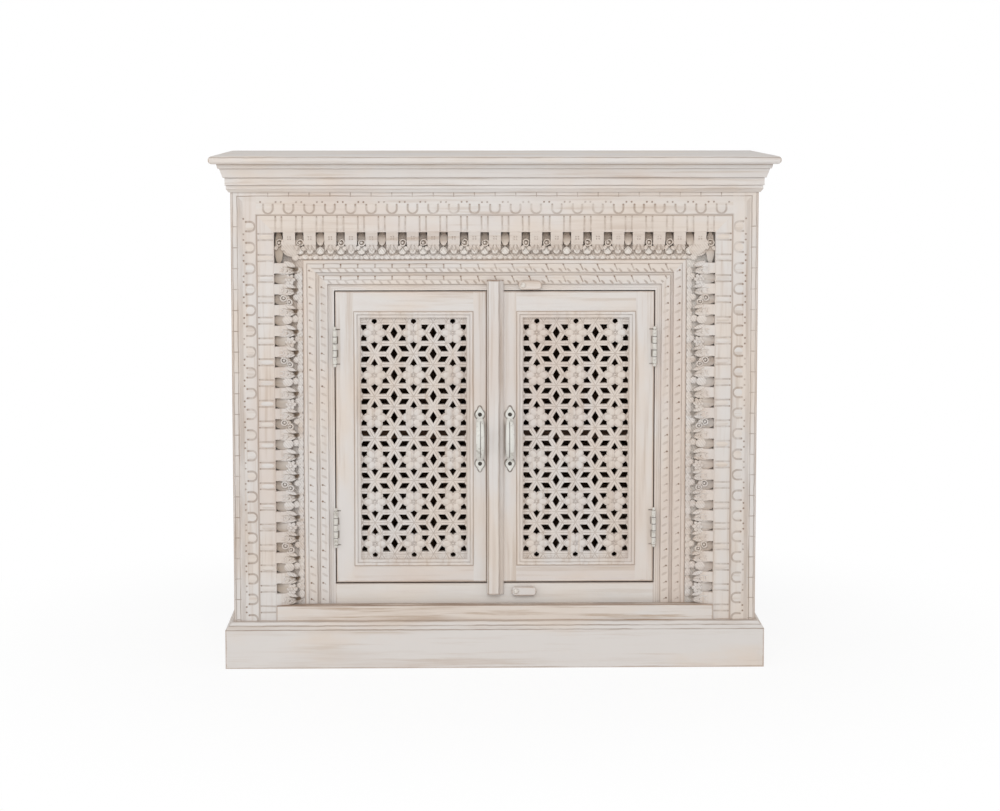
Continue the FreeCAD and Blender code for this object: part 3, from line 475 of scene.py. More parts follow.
def set_in_rows(unit, places, name, body, finish):
    """Copy a carved motif to each place, join the copies into one piece, and fix it to a body."""
    copies = []
    for place in places:
        copy = unit.copy()
        copy.data = unit.data.copy()
        copy.data.transform(place)
        bpy.context.collection.objects.link(copy)
        copies.append(copy)
    bpy.ops.object.select_all(action="DESELECT")
    for copy in copies:
        copy.select_set(True)
    bpy.context.view_layer.objects.active = copies[0]
    bpy.ops.object.join()
    piece = bpy.context.active_object
    piece.name = name
    piece.data.materials.clear()
    piece.data.materials.append(finish)
    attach(piece, body)


def on_top(along, reach, face, turn=0.0, size=1.0, tilt=0.0):
    """A place on the upper band: X along it, the reach, Y, and a turn in its plane."""
    return (Matrix.Translation((along, face, reach + BAND_RISE)) @ Matrix.Rotation(turn, 4, "Y")
            @ Matrix.Rotation(-tilt, 4, "X") @ Matrix.Scale(size, 4))


def on_side(side, along, reach, face, turn=0.0, size=1.0, tilt=0.0):
    """A place on a side band: Z along it, the reach, Y, and a turn that the two sides mirror."""
    return (Matrix.Translation((side * reach, face, along))
            @ Matrix.Rotation(side * (math.pi / 2 + turn), 4, "Y")
            @ Matrix.Rotation(-tilt, 4, "X") @ Matrix.Scale(size, 4))


top_lunettes = [(step - 11) * TOP_PITCH for step in range(23)]
side_lunettes = [SIDE_FIRST + SIDE_PITCH / 2 - step * SIDE_PITCH for step in range(19)]
frame_relief = whitewash("frame_relief", *NO_EDGES, ALONG_X)
lunette = cut_petal("lunette", 0.0150, 0.0138, 0.0011)
set_in_rows(lunette, [on_top(along, LUNETTE_FOOT, LUNETTE_FACE) for along in top_lunettes]
            + [on_side(side, along, LUNETTE_FOOT, LUNETTE_FACE)
               for along in side_lunettes for side in (1, -1)],
            "lunettes", "case", frame_relief)

# The arcade
# A strip round the opening, sawn into fingers that slope back to the carved ground. Two gouged flutes
# with a rounded bar between them stand behind each hollow, and each upper finger has a small flower.
FLUTE_SIDE = 0.0056
FLUTE_FOOT = (0.3882, 0.3900)
FLUTE_END = (0.4160, 0.4150)
FLUTE_HOLE_ROW = 0.4150
TOP_FLUTES_STOP = (0.3985, 0.3975)
SIDE_FLUTES_STOP = (0.7850, 0.7840)
FINGER_FOLD = 0.3885
FLOWER_ROW = 0.3775
FLOWER_SPREAD = 0.0021
ARCADE_DIRT_AND_SHADE = (-0.155, -0.149)
BAR_FOOT = 0.3905
BAR_FACE = -0.1627
top_hollows = [(step - 10.5) * TOP_PITCH for step in range(22)]
side_hollows = [SIDE_FIRST - step * SIDE_PITCH for step in range(18)]


def arcade_lines(along, reach, pitch, first, short_of_corner):
    """The flutes with the hole that each ends in, and the fold where the fingers start."""
    beside_hollow = abs(repeated(along, pitch, first)) - FLUTE_SIDE
    flute = line(beside_hollow, 0.0028) * reach.ease(*FLUTE_FOOT) * reach.ease(*FLUTE_END)
    hole = dot(beside_hollow, reach - FLUTE_HOLE_ROW, 0.0016)
    return ((flute * 0.65).most(hole * 1.2) * short_of_corner).most(line(reach - FINGER_FOLD, 0.0012) * 0.3)


def top_arcade_lines(x, z):
    """The flutes over the doors, and the four drilled petals of the flower on each finger."""
    reach = z - BAND_RISE
    flutes = arcade_lines(x, reach, TOP_PITCH, TOP_PITCH / 2, abs(x).ease(*TOP_FLUTES_STOP))
    beside_flower = abs(repeated(x, TOP_PITCH)) - FLOWER_SPREAD
    flower = dot(beside_flower, abs(reach - FLOWER_ROW) - FLOWER_SPREAD, 0.0015)
    return flutes.most(flower * 0.9)


def side_arcade_lines(x, z):
    """The flutes beside the doors, whose fingers have no flower."""
    return arcade_lines(z, abs(x), SIDE_PITCH, SIDE_FIRST, z.ease(*SIDE_FLUTES_STOP))


# The walls of the hollows darken toward the back: soiling and painted shade, least on the right.
finish_board("arcade_top", ALONG_X, top_arcade_lines, depth=ARCADE_DIRT_AND_SHADE, dirty=0.25)
for side, dirty in (("right", 0.05), ("left", 0.25)):
    finish_board(f"{side}_arcade", ALONG_Z, side_arcade_lines, depth=ARCADE_DIRT_AND_SHADE, dirty=dirty)
bar = cut_petal("flute_bar", 0.0225, 0.0084, 0.0014, points=12)
set_in_rows(bar, [on_top(along, BAR_FOOT, BAR_FACE) for along in top_hollows]
            + [on_side(side, along, BAR_FOOT, BAR_FACE) for along in side_hollows for side in (1, -1)],
            "flute_bars", "case", frame_relief)

# The carved band
# A sunk band of leaves, buds, flowers and scrolls cut by hand out of one board. Soiling and painted
# shade darken the pits between them and the plain scoops behind the hollows, more on the left, and
# painted highlights lighten the leaves and buds where they stand out, and the right ground.
GRIME_AND_SHADE = tone(126, 104, 82)
OLD_WASH_AND_SHADE = tone(176, 160, 142)
TOP_GROUND = (-0.1450, -0.1395)
SIDE_GROUND = (-0.1470, -0.1395)
GROUND_HIGHLIGHT = (-0.1300, -0.1400)
LEAF_DIRT_AND_SHADE = (-0.1570, -0.1455)
LEAF_HIGHLIGHT = (-0.1570, -0.1620)
SCOOP_DIRT_AND_SHADE = (-0.1570, -0.1500)
MARGIN_DIRT_AND_SHADE = (-0.1490, -0.1420)
BUD_HIGHLIGHT = (-0.1480, -0.1515)
BUD_SLOPE = 0.7
BUD_TIP = 0.3610
BUD_LENGTH = ((0.3400, 0.3420), (0.3618, 0.3605))
SCALLOP_ROW = 0.3395
SCALLOP_BOW = 0.0064
SCALLOP_END = (0.3480, 0.3470)
CHISEL_PITCH = 0.0037
GROOVE_START = 0.3490
GROOVE_LEAN = 0.31
GROOVE_FOOT = (0.3480, 0.3510)
GROOVE_HEAD = (0.3872, 0.3850)
PIT_SIDE = 0.0032
PIT_REACH = 0.3495
LEAF_EYES = ((-0.0016, 0.3765, 0.0019), (-0.0048, 0.3665, 0.0018))
CORNER_HOLE_SIDE = 0.0074
CORNER_HOLE_REACH = 0.3835
LEAF_EDGE = (-0.0095, -0.0085)
VEIN_PITCH = 0.0056
SIDE_CUTS_START = (0.7300, 0.7285)


def chisel_cuts(x, z):
    """Fine cuts that follow no ruler, left by the gouge over the leaves."""
    return line(repeated(x * 0.8 + z * 0.6, CHISEL_PITCH), 0.0012) * 0.28


def top_cuts(x, z):
    """The outline of the bud under each hollow, and of the scallops that stand between the buds."""
    reach = z - BAND_RISE
    bud_side = abs(repeated(x, TOP_PITCH, TOP_PITCH / 2)) - (BUD_TIP - reach) * BUD_SLOPE
    bud_edge = line(bud_side, 0.0018) * reach.ease(*BUD_LENGTH[0]) * reach.ease(*BUD_LENGTH[1])
    rise = (reach - SCALLOP_ROW).most(0.0)
    scallop_edge = line(radius_to(repeated(x, TOP_PITCH / 2, TOP_PITCH / 4), rise) - SCALLOP_BOW, 0.0014)
    scallop_edge = scallop_edge * reach.ease(*SCALLOP_END)
    return (bud_edge * 0.70).most(scallop_edge * 0.5).most(chisel_cuts(x, z))


def side_cuts(x, z):
    """The groove from each hollow down to a deep pit, with drilled eyes and veins on the leaf below."""
    reach = abs(x)
    cell = repeated(z, SIDE_PITCH, SIDE_FIRST + SIDE_PITCH / 2)
    slant = cell + PIT_SIDE - (reach - GROOVE_START) * GROOVE_LEAN
    groove = line(slant, 0.0024) * reach.ease(*GROOVE_FOOT) * reach.ease(*GROOVE_HEAD)
    # The deep pit is painted: a dark spot of painted shade on the flat ground.
    pit = dot((reach - PIT_REACH) * 0.75 + cell * 0.3, cell + PIT_SIDE, 0.0040)
    upper_eye, lower_eye = (dot(cell - along, reach - out, radius) for along, out, radius in LEAF_EYES)
    eyes = upper_eye.most(lower_eye)
    corners = dot(abs(cell) - CORNER_HOLE_SIDE, reach - CORNER_HOLE_REACH, 0.0015)
    leaf = slant.ease(0.0, -0.0015) * cell.ease(*LEAF_EDGE)
    veins = line(repeated(reach + slant * 0.9, VEIN_PITCH), 0.0016) * leaf
    cuts = (groove * 1.15).most(pit * 1.4).most(eyes * 1.4).most(corners).most(veins * 0.7)
    more_on_left = x.ease(0.1, -0.1) * 0.5 + 0.5
    return (cuts * more_on_left * z.ease(*SIDE_CUTS_START)).most(chisel_cuts(x, z))


def carved_finishes(band, cuts, dirty, bud_crown=None):
    """The finishes of a band's leaves, of its scoops and scrolls, and of the buds along its margin."""
    # The leaves, and the buds of the upper margin, get a painted highlight where they stand out.
    return (whitewash(f"{band}_carved", *NO_EDGES, ALONG_X, cuts, depth=LEAF_DIRT_AND_SHADE, dirty=dirty,
                      crown=LEAF_HIGHLIGHT, grime=GRIME_AND_SHADE),
            whitewash(f"{band}_scooped", *NO_EDGES, ALONG_X, depth=SCOOP_DIRT_AND_SHADE, dirty=dirty * 2.0,
                      grime=OLD_WASH_AND_SHADE),
            whitewash(f"{band}_margin", *NO_EDGES, ALONG_X, cuts, depth=MARGIN_DIRT_AND_SHADE, dirty=dirty * 0.5,
                      crown=bud_crown, grime=GRIME_AND_SHADE))


# The grounds darken toward the back: soiling and painted shade, most on the left.
finish_board("carved_panel_top", ALONG_X, top_cuts, depth=TOP_GROUND, dirty=0.08, grime=GRIME_AND_SHADE)
# The right ground also gets a painted highlight, which lightens it and its pits.
finish_board("right_carved_panel", ALONG_Z, side_cuts, depth=SIDE_GROUND, dirty=0.072,
             crown=GROUND_HIGHLIGHT, grime=GRIME_AND_SHADE)
finish_board("left_carved_panel", ALONG_Z, side_cuts, depth=SIDE_GROUND, dirty=0.216, grime=GRIME_AND_SHADE)
finishes = {"top": carved_finishes("top", top_cuts, 0.22, BUD_HIGHLIGHT),
            "right": carved_finishes("right", side_cuts, 0.12),
            "left": carved_finishes("left", side_cuts, 0.36)}

SCROLL_RADIUS = 0.0045
SCROLL_THICKNESS = 0.0014
bpy.ops.object.select_all(action="DESELECT")
bpy.ops.mesh.primitive_torus_add(major_radius=SCROLL_RADIUS, minor_radius=SCROLL_THICKNESS,
                                 major_segments=14, minor_segments=6, rotation=(math.pi / 2, 0, 0))
scroll = bpy.context.active_object
scroll.name = "scroll"
bpy.ops.object.transform_apply(location=True, rotation=True, scale=True)
pick(scroll, "VERT", lambda at: True)
bpy.ops.transform.resize(value=(1, 2.0, 1.1), center_override=(0, 0, 0))
pick(scroll, "VERT", lambda at: at.x > 0 and at.z < 0)
bpy.ops.transform.resize(value=(0.72, 1, 0.80), center_override=(0, 0, 0))
bpy.ops.object.mode_set(mode="OBJECT")
bpy.ops.object.shade_smooth_by_angle(angle=math.radians(50))

scoop = cut_petal("scoop", 0.0250, 0.0146, 0.0012, root=0.010)
wide_scoop = cut_petal("wide_scoop", 0.0310, 0.0194, 0.0012, root=0.010, points=14)
corner_scoop = cut_petal("corner_scoop", 0.0570, 0.0150, 0.0012, root=0.006, points=16)
finger_foot = cut_petal("finger_foot", 0.0370, 0.0214, 0.0012, root=0.012, points=14)
bud = cut_petal("bud", 0.0120, 0.0145, 0.0030, point=0.0025, root=0.006)
scallop = cut_petal("scallop", 0.0085, 0.0125, 0.0022, root=0.006)
scallop_eye = cut_petal("scallop_eye", 0.0055, 0.0078, 0.0016, root=0.003)
lobe = cut_petal("lobe", 0.0190, 0.0072, 0.0026, point=0.0015, root=0.012)
finger_leaf = cut_petal("finger_leaf", 0.0350, 0.0176, 0.0020, point=0.0020, root=0.010, points=14)
broad_leaf = cut_petal("broad_leaf", 0.0185, 0.0155, 0.0020, root=0.010, points=12)
round_bud = cut_petal("round_bud", 0.0125, 0.0125, 0.0030, root=0.006, points=12)
petal = cut_petal("petal", 0.0088, 0.0068, 0.0024, root=0.010)
eye = cut_petal("eye", 0.0046, 0.0046, 0.0030, root=0.006)
scooped_units = (scoop, wide_scoop, corner_scoop, scroll, eye)
margin_units = (bud, round_bud, scallop, scallop_eye)
motifs = (*scooped_units, *margin_units, finger_foot, lobe, finger_leaf, broad_leaf, petal)
top_work, right_work, left_work = ({unit: [] for unit in motifs} for band in range(3))
side_work = {1: right_work, -1: left_work}

# Each row gives a motif, its shift along the band, its reach, its place along Y, and where they
# matter its turn, size and tilt.
SLANT = 0.25
MITRE = 0.785
BAND_END = 0.370
MARGIN_END = 0.350
TOP_FINGER = (
    (finger_foot, 0, 0.3865, -0.1580, math.pi, 1, 0.30),
    (lobe, 0, 0.3670, -0.1530, math.pi, 0.75, 0.25),
    (lobe, 0.0048, 0.3715, -0.1540, math.pi - SLANT, 0.9, 0.28),
    (lobe, -0.0048, 0.3715, -0.1540, math.pi + SLANT, 0.9, 0.28))
TOP_MARGIN = (
    (bud, 0, 0.3490, -0.1480, 0, 0.74),
    (scallop, 0, 0.3390, -0.1465, 0, 0.75),
    (scallop, TOP_PITCH / 4, 0.3390, -0.1470, 0, 1.05),
    (scallop_eye, TOP_PITCH / 4, 0.3396, -0.1485),
    (scallop, -TOP_PITCH / 4, 0.3390, -0.1470, 0, 1.05),
    (scallop_eye, -TOP_PITCH / 4, 0.3396, -0.1485))
SIDE_FINGER = (
    (finger_leaf, -0.0004, 0.3885, -0.1608, math.pi - 0.15, 1, 0.33),
    (scroll, -0.0016, 0.3765, -0.1578, 0.4, 0.85),
    (scroll, -0.0048, 0.3665, -0.1546, 2.8, 0.80),
    (lobe, 0.0088, 0.3715, -0.1545, math.pi - 0.32, 1.05, 0.12),
    (lobe, -0.0088, 0.3715, -0.1545, math.pi + 0.10, 0.95, 0.12))
SIDE_BAY = (
    (wide_scoop, 0, 0.3605, -0.1535, 0, 1, 0.10),
    (scallop, 0.0115, 0.3388, -0.1465, 0, 1.25),
    (scallop, 0, 0.3388, -0.1465, 0, 1.25),
    (scallop, -0.0120, 0.3388, -0.1465, 0, 1.25))
FLOWER_BAY = (
    (eye, -0.0020, 0.3590, -0.1565, 0, 1.2),
    (round_bud, 0.0030, 0.3440, -0.1480, 0, 0.8))
SCROLL_BAY = (
    (scroll, 0.0025, 0.3720, -0.1555, 0.4, 1.10),
    (eye, 0.0025, 0.3695, -0.1550, 0, 1.1),
    (scroll, -0.0045, 0.3620, -0.1555, 2.6, 1.0),
    (eye, -0.0045, 0.3600, -0.1550),
    (round_bud, 0.0030, 0.3450, -0.1482, 0, 0.9))
LEAF_BAY = (
    (broad_leaf, 0.0005, 0.3750, -0.1548, math.pi, 1, 0.12),
    (round_bud, 0.0020, 0.3465, -0.1485))


def carve_top(along, *rows):
    """Lay the rows at one place along the upper band."""
    for unit, shift, *laid in rows:
        top_work[unit].append(on_top(along + shift, *laid))


def carve_side(side, along, *rows):
    """Lay the rows at one height of a side band."""
    for unit, shift, *laid in rows:
        side_work[side][unit].append(on_side(side, along + shift, *laid))


for step, along in enumerate(top_hollows):
    plain = step % 3 == 2
    if abs(along) < BAND_END:
        carve_top(along, (scoop, 0, 0.3640, -0.1530 if plain else -0.1500, 0, 1, 0.30))
    if not plain:
        carve_top(along, (scroll, 0.001, 0.3690, -0.1515, step, 1.20),
                  (eye, 0, 0.3665, -0.1525, 0, 1.1),
                  (petal, -0.003, 0.3640, -0.1530, math.pi + 0.5),
                  (petal, 0.004, 0.3625, -0.1530, math.pi - 0.6))
    if abs(along) < MARGIN_END:
        carve_top(along, (bud, 0, 0.3480, -0.1480), (scallop, 0, 0.3390, -0.1465, 0, 0.75))
for along in top_lunettes:
    if abs(along) < BAND_END:
        carve_top(along, *TOP_FINGER)
    if abs(along) < MARGIN_END:
        carve_top(along, *TOP_MARGIN)
for side, work in side_work.items():
    for along in side_lunettes[2:]:
        carve_side(side, along, *SIDE_FINGER)
    for step, along in enumerate(side_hollows[2:]):
        carve_side(side, along, *SIDE_BAY)
        carve_side(side, along, *(FLOWER_BAY, SCROLL_BAY, LEAF_BAY)[step % 3])
        if step % 3 == 0:
            for turn in range(6):
                work[petal].append(on_side(side, along - 0.0020, 0.3610, -0.1545, turn * math.tau / 6)
                                   @ Matrix.Translation((0, 0, 0.0012)))
    work[corner_scoop].append(on_top(side * 0.3800, 0.3310, -0.1490))
    work[finger_foot].append(on_top(side * 0.3740, 0.3740, -0.1560, math.pi + side * MITRE, 1, 0.15))
    for turn in (-0.75, -0.1, 0.55):
        work[finger_leaf].append(on_top(side * 0.3480, 0.3480, -0.1500, side * (MITRE + turn), 0.72))
    carve_side(side, 0.7290, (round_bud, 0, 0.3450, -0.1480))
    carve_side(side, 0.7210, (lobe, 0, 0.3720, -0.1530, math.pi - 0.32, 1.1))

for band, work in (("top", top_work), ("right", right_work), ("left", left_work)):
    carved, scooped, margin = finishes[band]
    for unit, places in work.items():
        if places:
            finish = scooped if unit in scooped_units else margin if unit in margin_units else carved
            set_in_rows(unit, places, f"{band}_{unit.name}", "case", finish)
for unit in (lunette, bar, *motifs):
    bpy.data.objects.remove(unit)

# The inner frame
# Two rope mouldings, a plain bead and a fillet, worked on three mitred boards. Slots divide the
# ropes into long bricks on the top, with slanting gouge marks below them, and drilled dots on the sides.
ROPE_PITCH = 0.021
ROPE_MIDDLE = 0.30275
ROPE_HALF = (0.0078, 0.0074)
ROPES_START = (0.2945, 0.2952)
ROPES_END = (0.3322, 0.3315)
STEP_LEVELS = (0.2950, 0.3105, 0.3160, 0.3315)
BEAD_MIDDLE = 0.2895
BEAD_HALF = 0.0017
BRICK_PITCH = 0.0302
HOLE_PITCH = 0.0294
HOLE_ROW = 0.0033


def rope_zone(reach):
    """How far a place is from the middle of the nearer rope, and 1 on the ropes."""
    off = repeated(reach, ROPE_PITCH, ROPE_MIDDLE)
    inside = abs(off).ease(*ROPE_HALF) * reach.ease(*ROPES_START) * reach.ease(*ROPES_END)
    return off, inside


def step_lines(reach):
    """The creases between the ropes, the bead and the fillet."""
    bead = line(abs(reach - BEAD_MIDDLE) - BEAD_HALF, 0.0010) * 0.6
    return lines_at(reach, STEP_LEVELS, 0.0013).most(bead) * 0.6


def top_rope_lines(x, z):
    """The bricks with a hole at the head of each slot. The slots lean more towards the right."""
    reach = z - BAND_RISE
    off, inside = rope_zone(reach)
    lean = x.ease(-0.14, 0.04) * 0.45
    cell = repeated(x, BRICK_PITCH) + (off - 0.0062) * lean
    slot = line(cell, 0.0022) * (off + lean * 0.009).ease(-0.0012, 0.0004)
    hole = dot(cell, off - 0.0060, 0.0017) * 1.5
    middle = line(off, 0.0011) * (0.75 - lean * 1.6)
    gouge = dot(repeated(x, BRICK_PITCH / 2, 0.0070) + off * 0.8, (off + 0.0042) * 0.65, 0.0026)
    drawn = slot.most(middle).most(gouge * (lean * 0.6 + 0.6)).most(hole)
    return (drawn * inside).most(step_lines(reach))


def side_rope_lines(x, z):
    """The drilled holes, the cut that trails from each, and the gouge marks between them."""
    reach = abs(x)
    off, inside = rope_zone(reach)
    cell = repeated(z, HOLE_PITCH)
    hole = dot(cell, off - HOLE_ROW, 0.0018) * 1.6
    below_hole = off.ease(0.0036, 0.0028) * off.ease(-0.0030, -0.0005)
    tail = line(cell - (off - HOLE_ROW) * 0.45, 0.0018) * below_hole
    gouge = dot(repeated(z, HOLE_PITCH, HOLE_PITCH / 2) - off * 0.45, off * 0.45, 0.0026)
    return (hole.most(tail * 0.8).most(gouge * 0.45) * inside).most(step_lines(reach))


finish_board("inner_frame_top", ALONG_X, top_rope_lines)
for side in ("right", "left"):
    finish_board(f"{side}_inner_frame", ALONG_Z, side_rope_lines)

# The doors
# Each leaf is a mortised frame of two stiles and two rails round a board pierced with stars and
# rosettes, which a stepped moulding holds. The bars of the stars have a fine groove along the middle.
DOOR_MIDDLE = 0.405
DOOR_EDGE = 0.282
PANEL_CENTRE = 0.144
COLUMN_PITCH = 0.0347
ROW_PITCH = 0.0378
BAR_LEAN = math.atan2(ROW_PITCH / 2, COLUMN_PITCH / 3)
ROSETTE_EDGE = (0.0195, 0.0215)
ROSETTE_COLUMNS = (-2, 0, 2)
ROSETTE_ROWS = (-5, -3, -1, 1, 3, 5)
ROSETTE_FACE = -0.1380
ROSETTE_DIRT_AND_SHADE = (-0.1402, -0.1382)
PETAL_START = 0.0038
MOULDING_STEPS = (0.0006, 0.006, 0.0115)
HINGE_MIDDLE = 0.408
HINGE_SPREAD = 0.162
BARREL_SHADOW = 0.0036
SEAT_HALF = 0.0308
HANDLE_SIDE = 0.0266
EAR_SPREAD = 0.044
EAR_RADIUS = 0.0078
EAR_TIP = 0.0088
EAR_TIP_RADIUS = 0.0050
BOW_MIDDLE = -0.0085
STILE_SHADE = tone(108, 97, 86)
panel_low, panel_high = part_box("right_pierced_panel")
DOOR_HEART = (panel_low.y + panel_high.y) / 2


def lattice_lines(x, z, centre):
    """The groove along each bar and the finer lines at its sides, which stop short of the rosettes."""
    across = x - centre
    up = z - DOOR_MIDDLE
    level = abs(repeated(up, ROW_PITCH / 2))
    slope = ROW_PITCH * math.cos(BAR_LEAN)
    rising = abs(repeated(across * math.sin(BAR_LEAN) - up * math.cos(BAR_LEAN), slope))
    falling = abs(repeated(across * math.sin(BAR_LEAN) + up * math.cos(BAR_LEAN), slope))
    off_bar = level.least(rising).least(falling)
    groove = line(off_bar, 0.0013).most(line(off_bar - 0.0036, 0.0012) * 0.5)
    away = radius_to(repeated(across, COLUMN_PITCH * 2), repeated(up, ROW_PITCH * 2, ROW_PITCH))
    return groove * away.ease(*ROSETTE_EDGE) * 0.65


def moulding_lines(node):
    """The steps of a panel's moulding, as lines that run round inside its edge."""
    low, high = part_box(node)

    def lines(x, z):
        inwards = (x - low.x).least(high.x - x).least(z - low.z).least(high.z - z)
        return lines_at(inwards, MOULDING_STEPS, 0.0012) * 0.5
    return lines


def from_hinge(z):
    """How far above or below the middle of the nearer hinge a place is."""
    return abs(z - HINGE_MIDDLE) - HINGE_SPREAD


def hinge_shadow_and_seat(x, z):
    """Painted shadow of each hinge's barrel at the door's outer edge, and the dark ends of its slot in the
    door.
    """
    across = DOOR_EDGE - abs(x)
    along = from_hinge(z)
    barrel_shadow = line(across - BARREL_SHADOW, 0.0026) * abs(repeated(along, 0.024, 0.012)).ease(0.0072, 0.0060) * 1.3
    ends = line(abs(along) - SEAT_HALF, 0.0018) * across.ease(0.0085, 0.0075)
    return (barrel_shadow * abs(along).ease(0.0305, 0.0295)).most(ends * 1.4)


def handle_shade(x, z):
    """Painted shade round each ear of the handles, and the bow's painted shadow on the stile beside it."""
    across = abs(x) - HANDLE_SIDE
    along = abs(z - DOOR_MIDDLE) - EAR_SPREAD
    tip = (along - EAR_TIP).most(0.0)
    leaf_tip = (across * across * 2.2 + tip * tip).root() - EAR_TIP_RADIUS
    ear = (radius_to(across, along) - EAR_RADIUS).least(leaf_tip)
    behind_bow = abs(across - BOW_MIDDLE).ease(0.0042, 0.0010) * along.ease(-0.008, -0.022)
    return (line(ear - 0.0010, 0.0026) * 1.3).most(behind_bow * 0.9)


rosette_petal = cut_petal("rosette_petal", 0.0156, 0.0118, 0.0028, root=0.001)
rosette_eye = cut_petal("rosette_eye", 0.0044, 0.0044, 0.0022, root=0.001)
for side, sign in (("right", 1), ("left", -1)):
    leaf = [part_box(f"{side}_{part}") for part in ("hinge_stile", "meeting_stile")]
    whole = (Vector(map(min, leaf[0][0], leaf[1][0])), Vector(map(max, leaf[0][1], leaf[1][1])))
    # The stiles carry painted shadow beside the hinges and painted shade round the handles.
    for part, marks in (("hinge_stile", hinge_shadow_and_seat), ("meeting_stile", handle_shade)):
        finish_board(f"{side}_{part}", ALONG_Z, marks, whole, grime=STILE_SHADE, front=DOOR_HEART)
    for part in ("door_top_rail", "door_bottom_rail"):
        finish_board(f"{side}_{part}", ALONG_X, box=whole)
    finish_board(f"{side}_pierced_panel", ALONG_Z,
                 lambda x, z: lattice_lines(x, z, sign * PANEL_CENTRE), wear=0.5, front=DOOR_HEART)
    moulding = f"{side}_panel_moulding"
    finish_board(moulding, ALONG_Z, moulding_lines(moulding), front=DOOR_HEART)
    # The rosettes darken toward the back, between their petals: soiling and painted shade.
    rosette_finish = whitewash(f"{side}_rosettes", *NO_EDGES, ALONG_Z, depth=ROSETTE_DIRT_AND_SHADE, dirty=0.7)
    petals = []
    eyes = []
    for column in ROSETTE_COLUMNS:
        for row in ROSETTE_ROWS:
            centre = Vector((sign * PANEL_CENTRE + column * COLUMN_PITCH, ROSETTE_FACE,
                             DOOR_MIDDLE + row * ROW_PITCH))
            eyes.append(Matrix.Translation(centre - Vector((0, 0, 0.002))))
            for tilt in (0, math.pi):
                for aim in (math.pi / 2, math.pi / 2 - BAR_LEAN, math.pi / 2 + BAR_LEAN):
                    petals.append(Matrix.Translation(centre) @ Matrix.Rotation(aim + tilt, 4, "Y")
                                  @ Matrix.Translation((0, 0, PETAL_START)))
    set_in_rows(rosette_petal, petals, f"{side}_rosette_petals", f"{side}_door", rosette_finish)
    set_in_rows(rosette_eye, eyes, f"{side}_rosette_eyes", f"{side}_door", rosette_finish)
for unit in (rosette_petal, rosette_eye):
    bpy.data.objects.remove(unit)

# The cover strip
# A planed strip with sunk edges, screwed to the right door, that hides the joint of the two doors.
STRIP_EDGES = (-0.0115, 0.0070)
STRIP_STEP = 0.0085
STRIP_SHADE = (0.0078, 0.0105)
STRIP_TOP = (0.6850, 0.6876)


def strip_lines(x, z):
    """The strip's sunk edges, its worn top end, and the shade on its right side."""
    edges = lines_at(x, STRIP_EDGES, 0.0013).most(line(x - STRIP_STEP, 0.0013) * 0.6)
    return (edges * 0.9).most(z.ease(*STRIP_TOP) * 1.3).most(x.ease(*STRIP_SHADE) * 0.38)


finish_board("cover_strip", ALONG_Z, strip_lines)

# The turn buttons
# Two pear-shaped wooden buttons, each turning on one screw, whitewashed with the case, and darker
# in a disc round the screw's head.
SCREW_SEAT = 0.0062
BUTTON_SCREWS = (("top_turn_button", 0.0497, 0.6796), ("bottom_turn_button", 0.0377, 0.1314))
for node, side, rise in BUTTON_SCREWS:
    finish_board(node, ALONG_X, lambda x, z: dot(x - side, z - rise, SCREW_SEAT) * 0.55)

# The handles, the hinges and the screws
# Cast iron bow handles, painted a greenish white that has worn off their ridges, fixed by two dark
# screws each. The steel butt hinges and the buttons' screws were painted over with the case.
IRON_PAINT = tone(220, 219, 213)
IRON_WORN = tone(176, 172, 163)
WORN_RIDGE = tone(88, 82, 76)
DARK_SCREW = tone(74, 70, 66)
DARK_RUST = tone(48, 42, 38)
HINGE_PAINT = tone(214, 211, 204)
HINGE_WORN = tone(160, 154, 142)
SCREW_PAINT = tone(220, 214, 206)
SCREW_WORN = tone(170, 158, 146)
GRIP_ENDS = (0.035, 0.030)
KNUCKLE_LENGTH = 0.012
KNUCKLES_END = (0.0250, 0.0240)


def metal(name, base, worn, roughness, metallic, scale, marks=None):
    """Painted or bare metal with worn patches, its ridges or joints darker where marks draws them."""
    material, shader, place = new_finish(name)
    speckle = place.node("ShaderNodeTexNoise",
                         inputs={"Vector": place, "Scale": scale, "Detail": 6.0, "Roughness": 0.65})
    patch = place.node("ShaderNodeTexNoise",
                       inputs={"Vector": place, "Scale": scale * 0.2, "Detail": 3.0})
    rust = (speckle * 0.6 + patch * 0.4).ease(0.50, 0.62)
    colour = (rust * 0.75).blend(base, worn)
    if marks:
        x = place.node("ShaderNodeSeparateXYZ", inputs={"Vector": place})
        colour = marks(x, x.beside("Z")).blend(colour, WORN_RIDGE)
    bump = place.node("ShaderNodeBump", inputs={"Strength": 0.4, "Distance": 0.0004, "Height": speckle})
    colour.into(shader.inputs["Base Color"])
    (rust * 0.2 + roughness).into(shader.inputs["Roughness"])
    bump.into(shader.inputs["Normal"])
    shader.inputs["Metallic"].default_value = metallic
    return material


def grip_ridge(x, z):
    """The line along the ridge of each bow."""
    across = abs(x) - HANDLE_SIDE
    return line(across + 0.0008, 0.0017) * abs(z - DOOR_MIDDLE).ease(*GRIP_ENDS) * 0.8


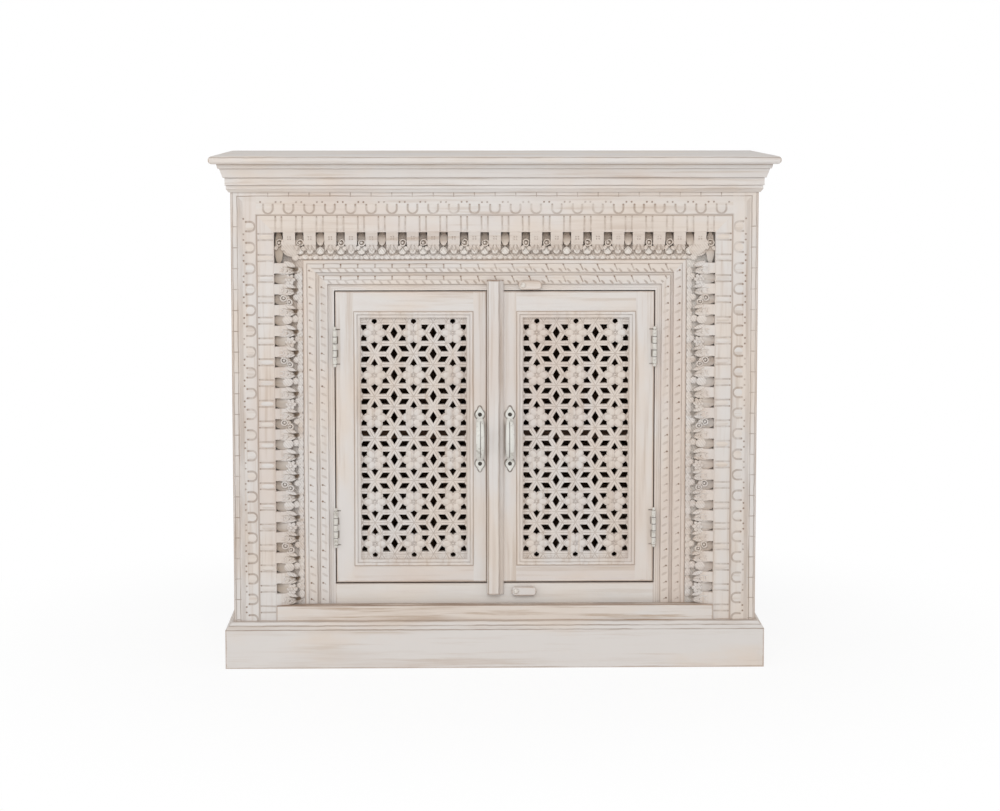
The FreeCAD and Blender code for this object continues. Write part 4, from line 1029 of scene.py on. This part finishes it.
def knuckle_joints(x, z):
    """The joints between the five knuckles of each hinge."""
    along = from_hinge(z)
    joint = line(repeated(along, KNUCKLE_LENGTH, KNUCKLE_LENGTH / 2), 0.0016)
    return joint * abs(along).ease(*KNUCKLES_END) * 0.7


painted_iron = metal("painted_iron", IRON_PAINT, IRON_WORN, roughness=0.42, metallic=0.0, scale=190,
                     marks=grip_ridge)
dark_steel = metal("dark_steel", DARK_SCREW, DARK_RUST, roughness=0.4, metallic=0.8, scale=500)
hinge_steel = metal("hinge_steel", HINGE_PAINT, HINGE_WORN, roughness=0.5, metallic=0.0, scale=300,
                    marks=knuckle_joints)
button_steel = metal("button_steel", SCREW_PAINT, SCREW_WORN, roughness=0.5, metallic=0.0, scale=300)
for side in ("right", "left"):
    lay_finish(f"{side}_handle", painted_iron)
    lay_finish(f"{side}_handle_screws", dark_steel)
    for part in ("door_leaves", "case_leaves", "hinge_pins"):
        lay_finish(f"{side}_{part}", hinge_steel)
lay_finish("turn_button_screws", button_steel)

# The inside
# The back, the bottom, the shelf, the cleats and the blocks are left bare, in brown mango wood with
# darker figure and open pores.
WOOD_LIGHT = tone(132, 98, 70)
WOOD_DARK = tone(96, 68, 47)
WOOD_PORES = tone(58, 40, 28)
PORE_DEPTH = 0.0005


def bare_wood(node, grain):
    """Finish one piece in bare wood with its grain along one axis."""
    material, shader, place = new_finish(node)
    figure = fibre(place, grain, 2.5, 30, 5).ease(0.38, 0.64)
    pores = fibre(place, grain, 16, 420, 3).ease(0.5, 0.68)
    colour = figure.blend(WOOD_LIGHT, WOOD_DARK)
    colour = (pores * 0.5).blend(colour, WOOD_PORES)
    bump = place.node("ShaderNodeBump",
                      inputs={"Strength": 0.4, "Distance": PORE_DEPTH, "Height": pores * -1.0})
    colour.into(shader.inputs["Base Color"])
    (pores * 0.1 + 0.6).into(shader.inputs["Roughness"])
    bump.into(shader.inputs["Normal"])
    lay_finish(node, material)


for node, grain in (("back_panel", ALONG_Z), ("bottom_board", ALONG_X), ("shelf", ALONG_X),
                    ("shelf_cleats", ALONG_Y), ("top_cleats", ALONG_Y), ("plinth_back", ALONG_X),
                    ("corner_blocks", ALONG_Z)):
    bare_wood(node, grain)
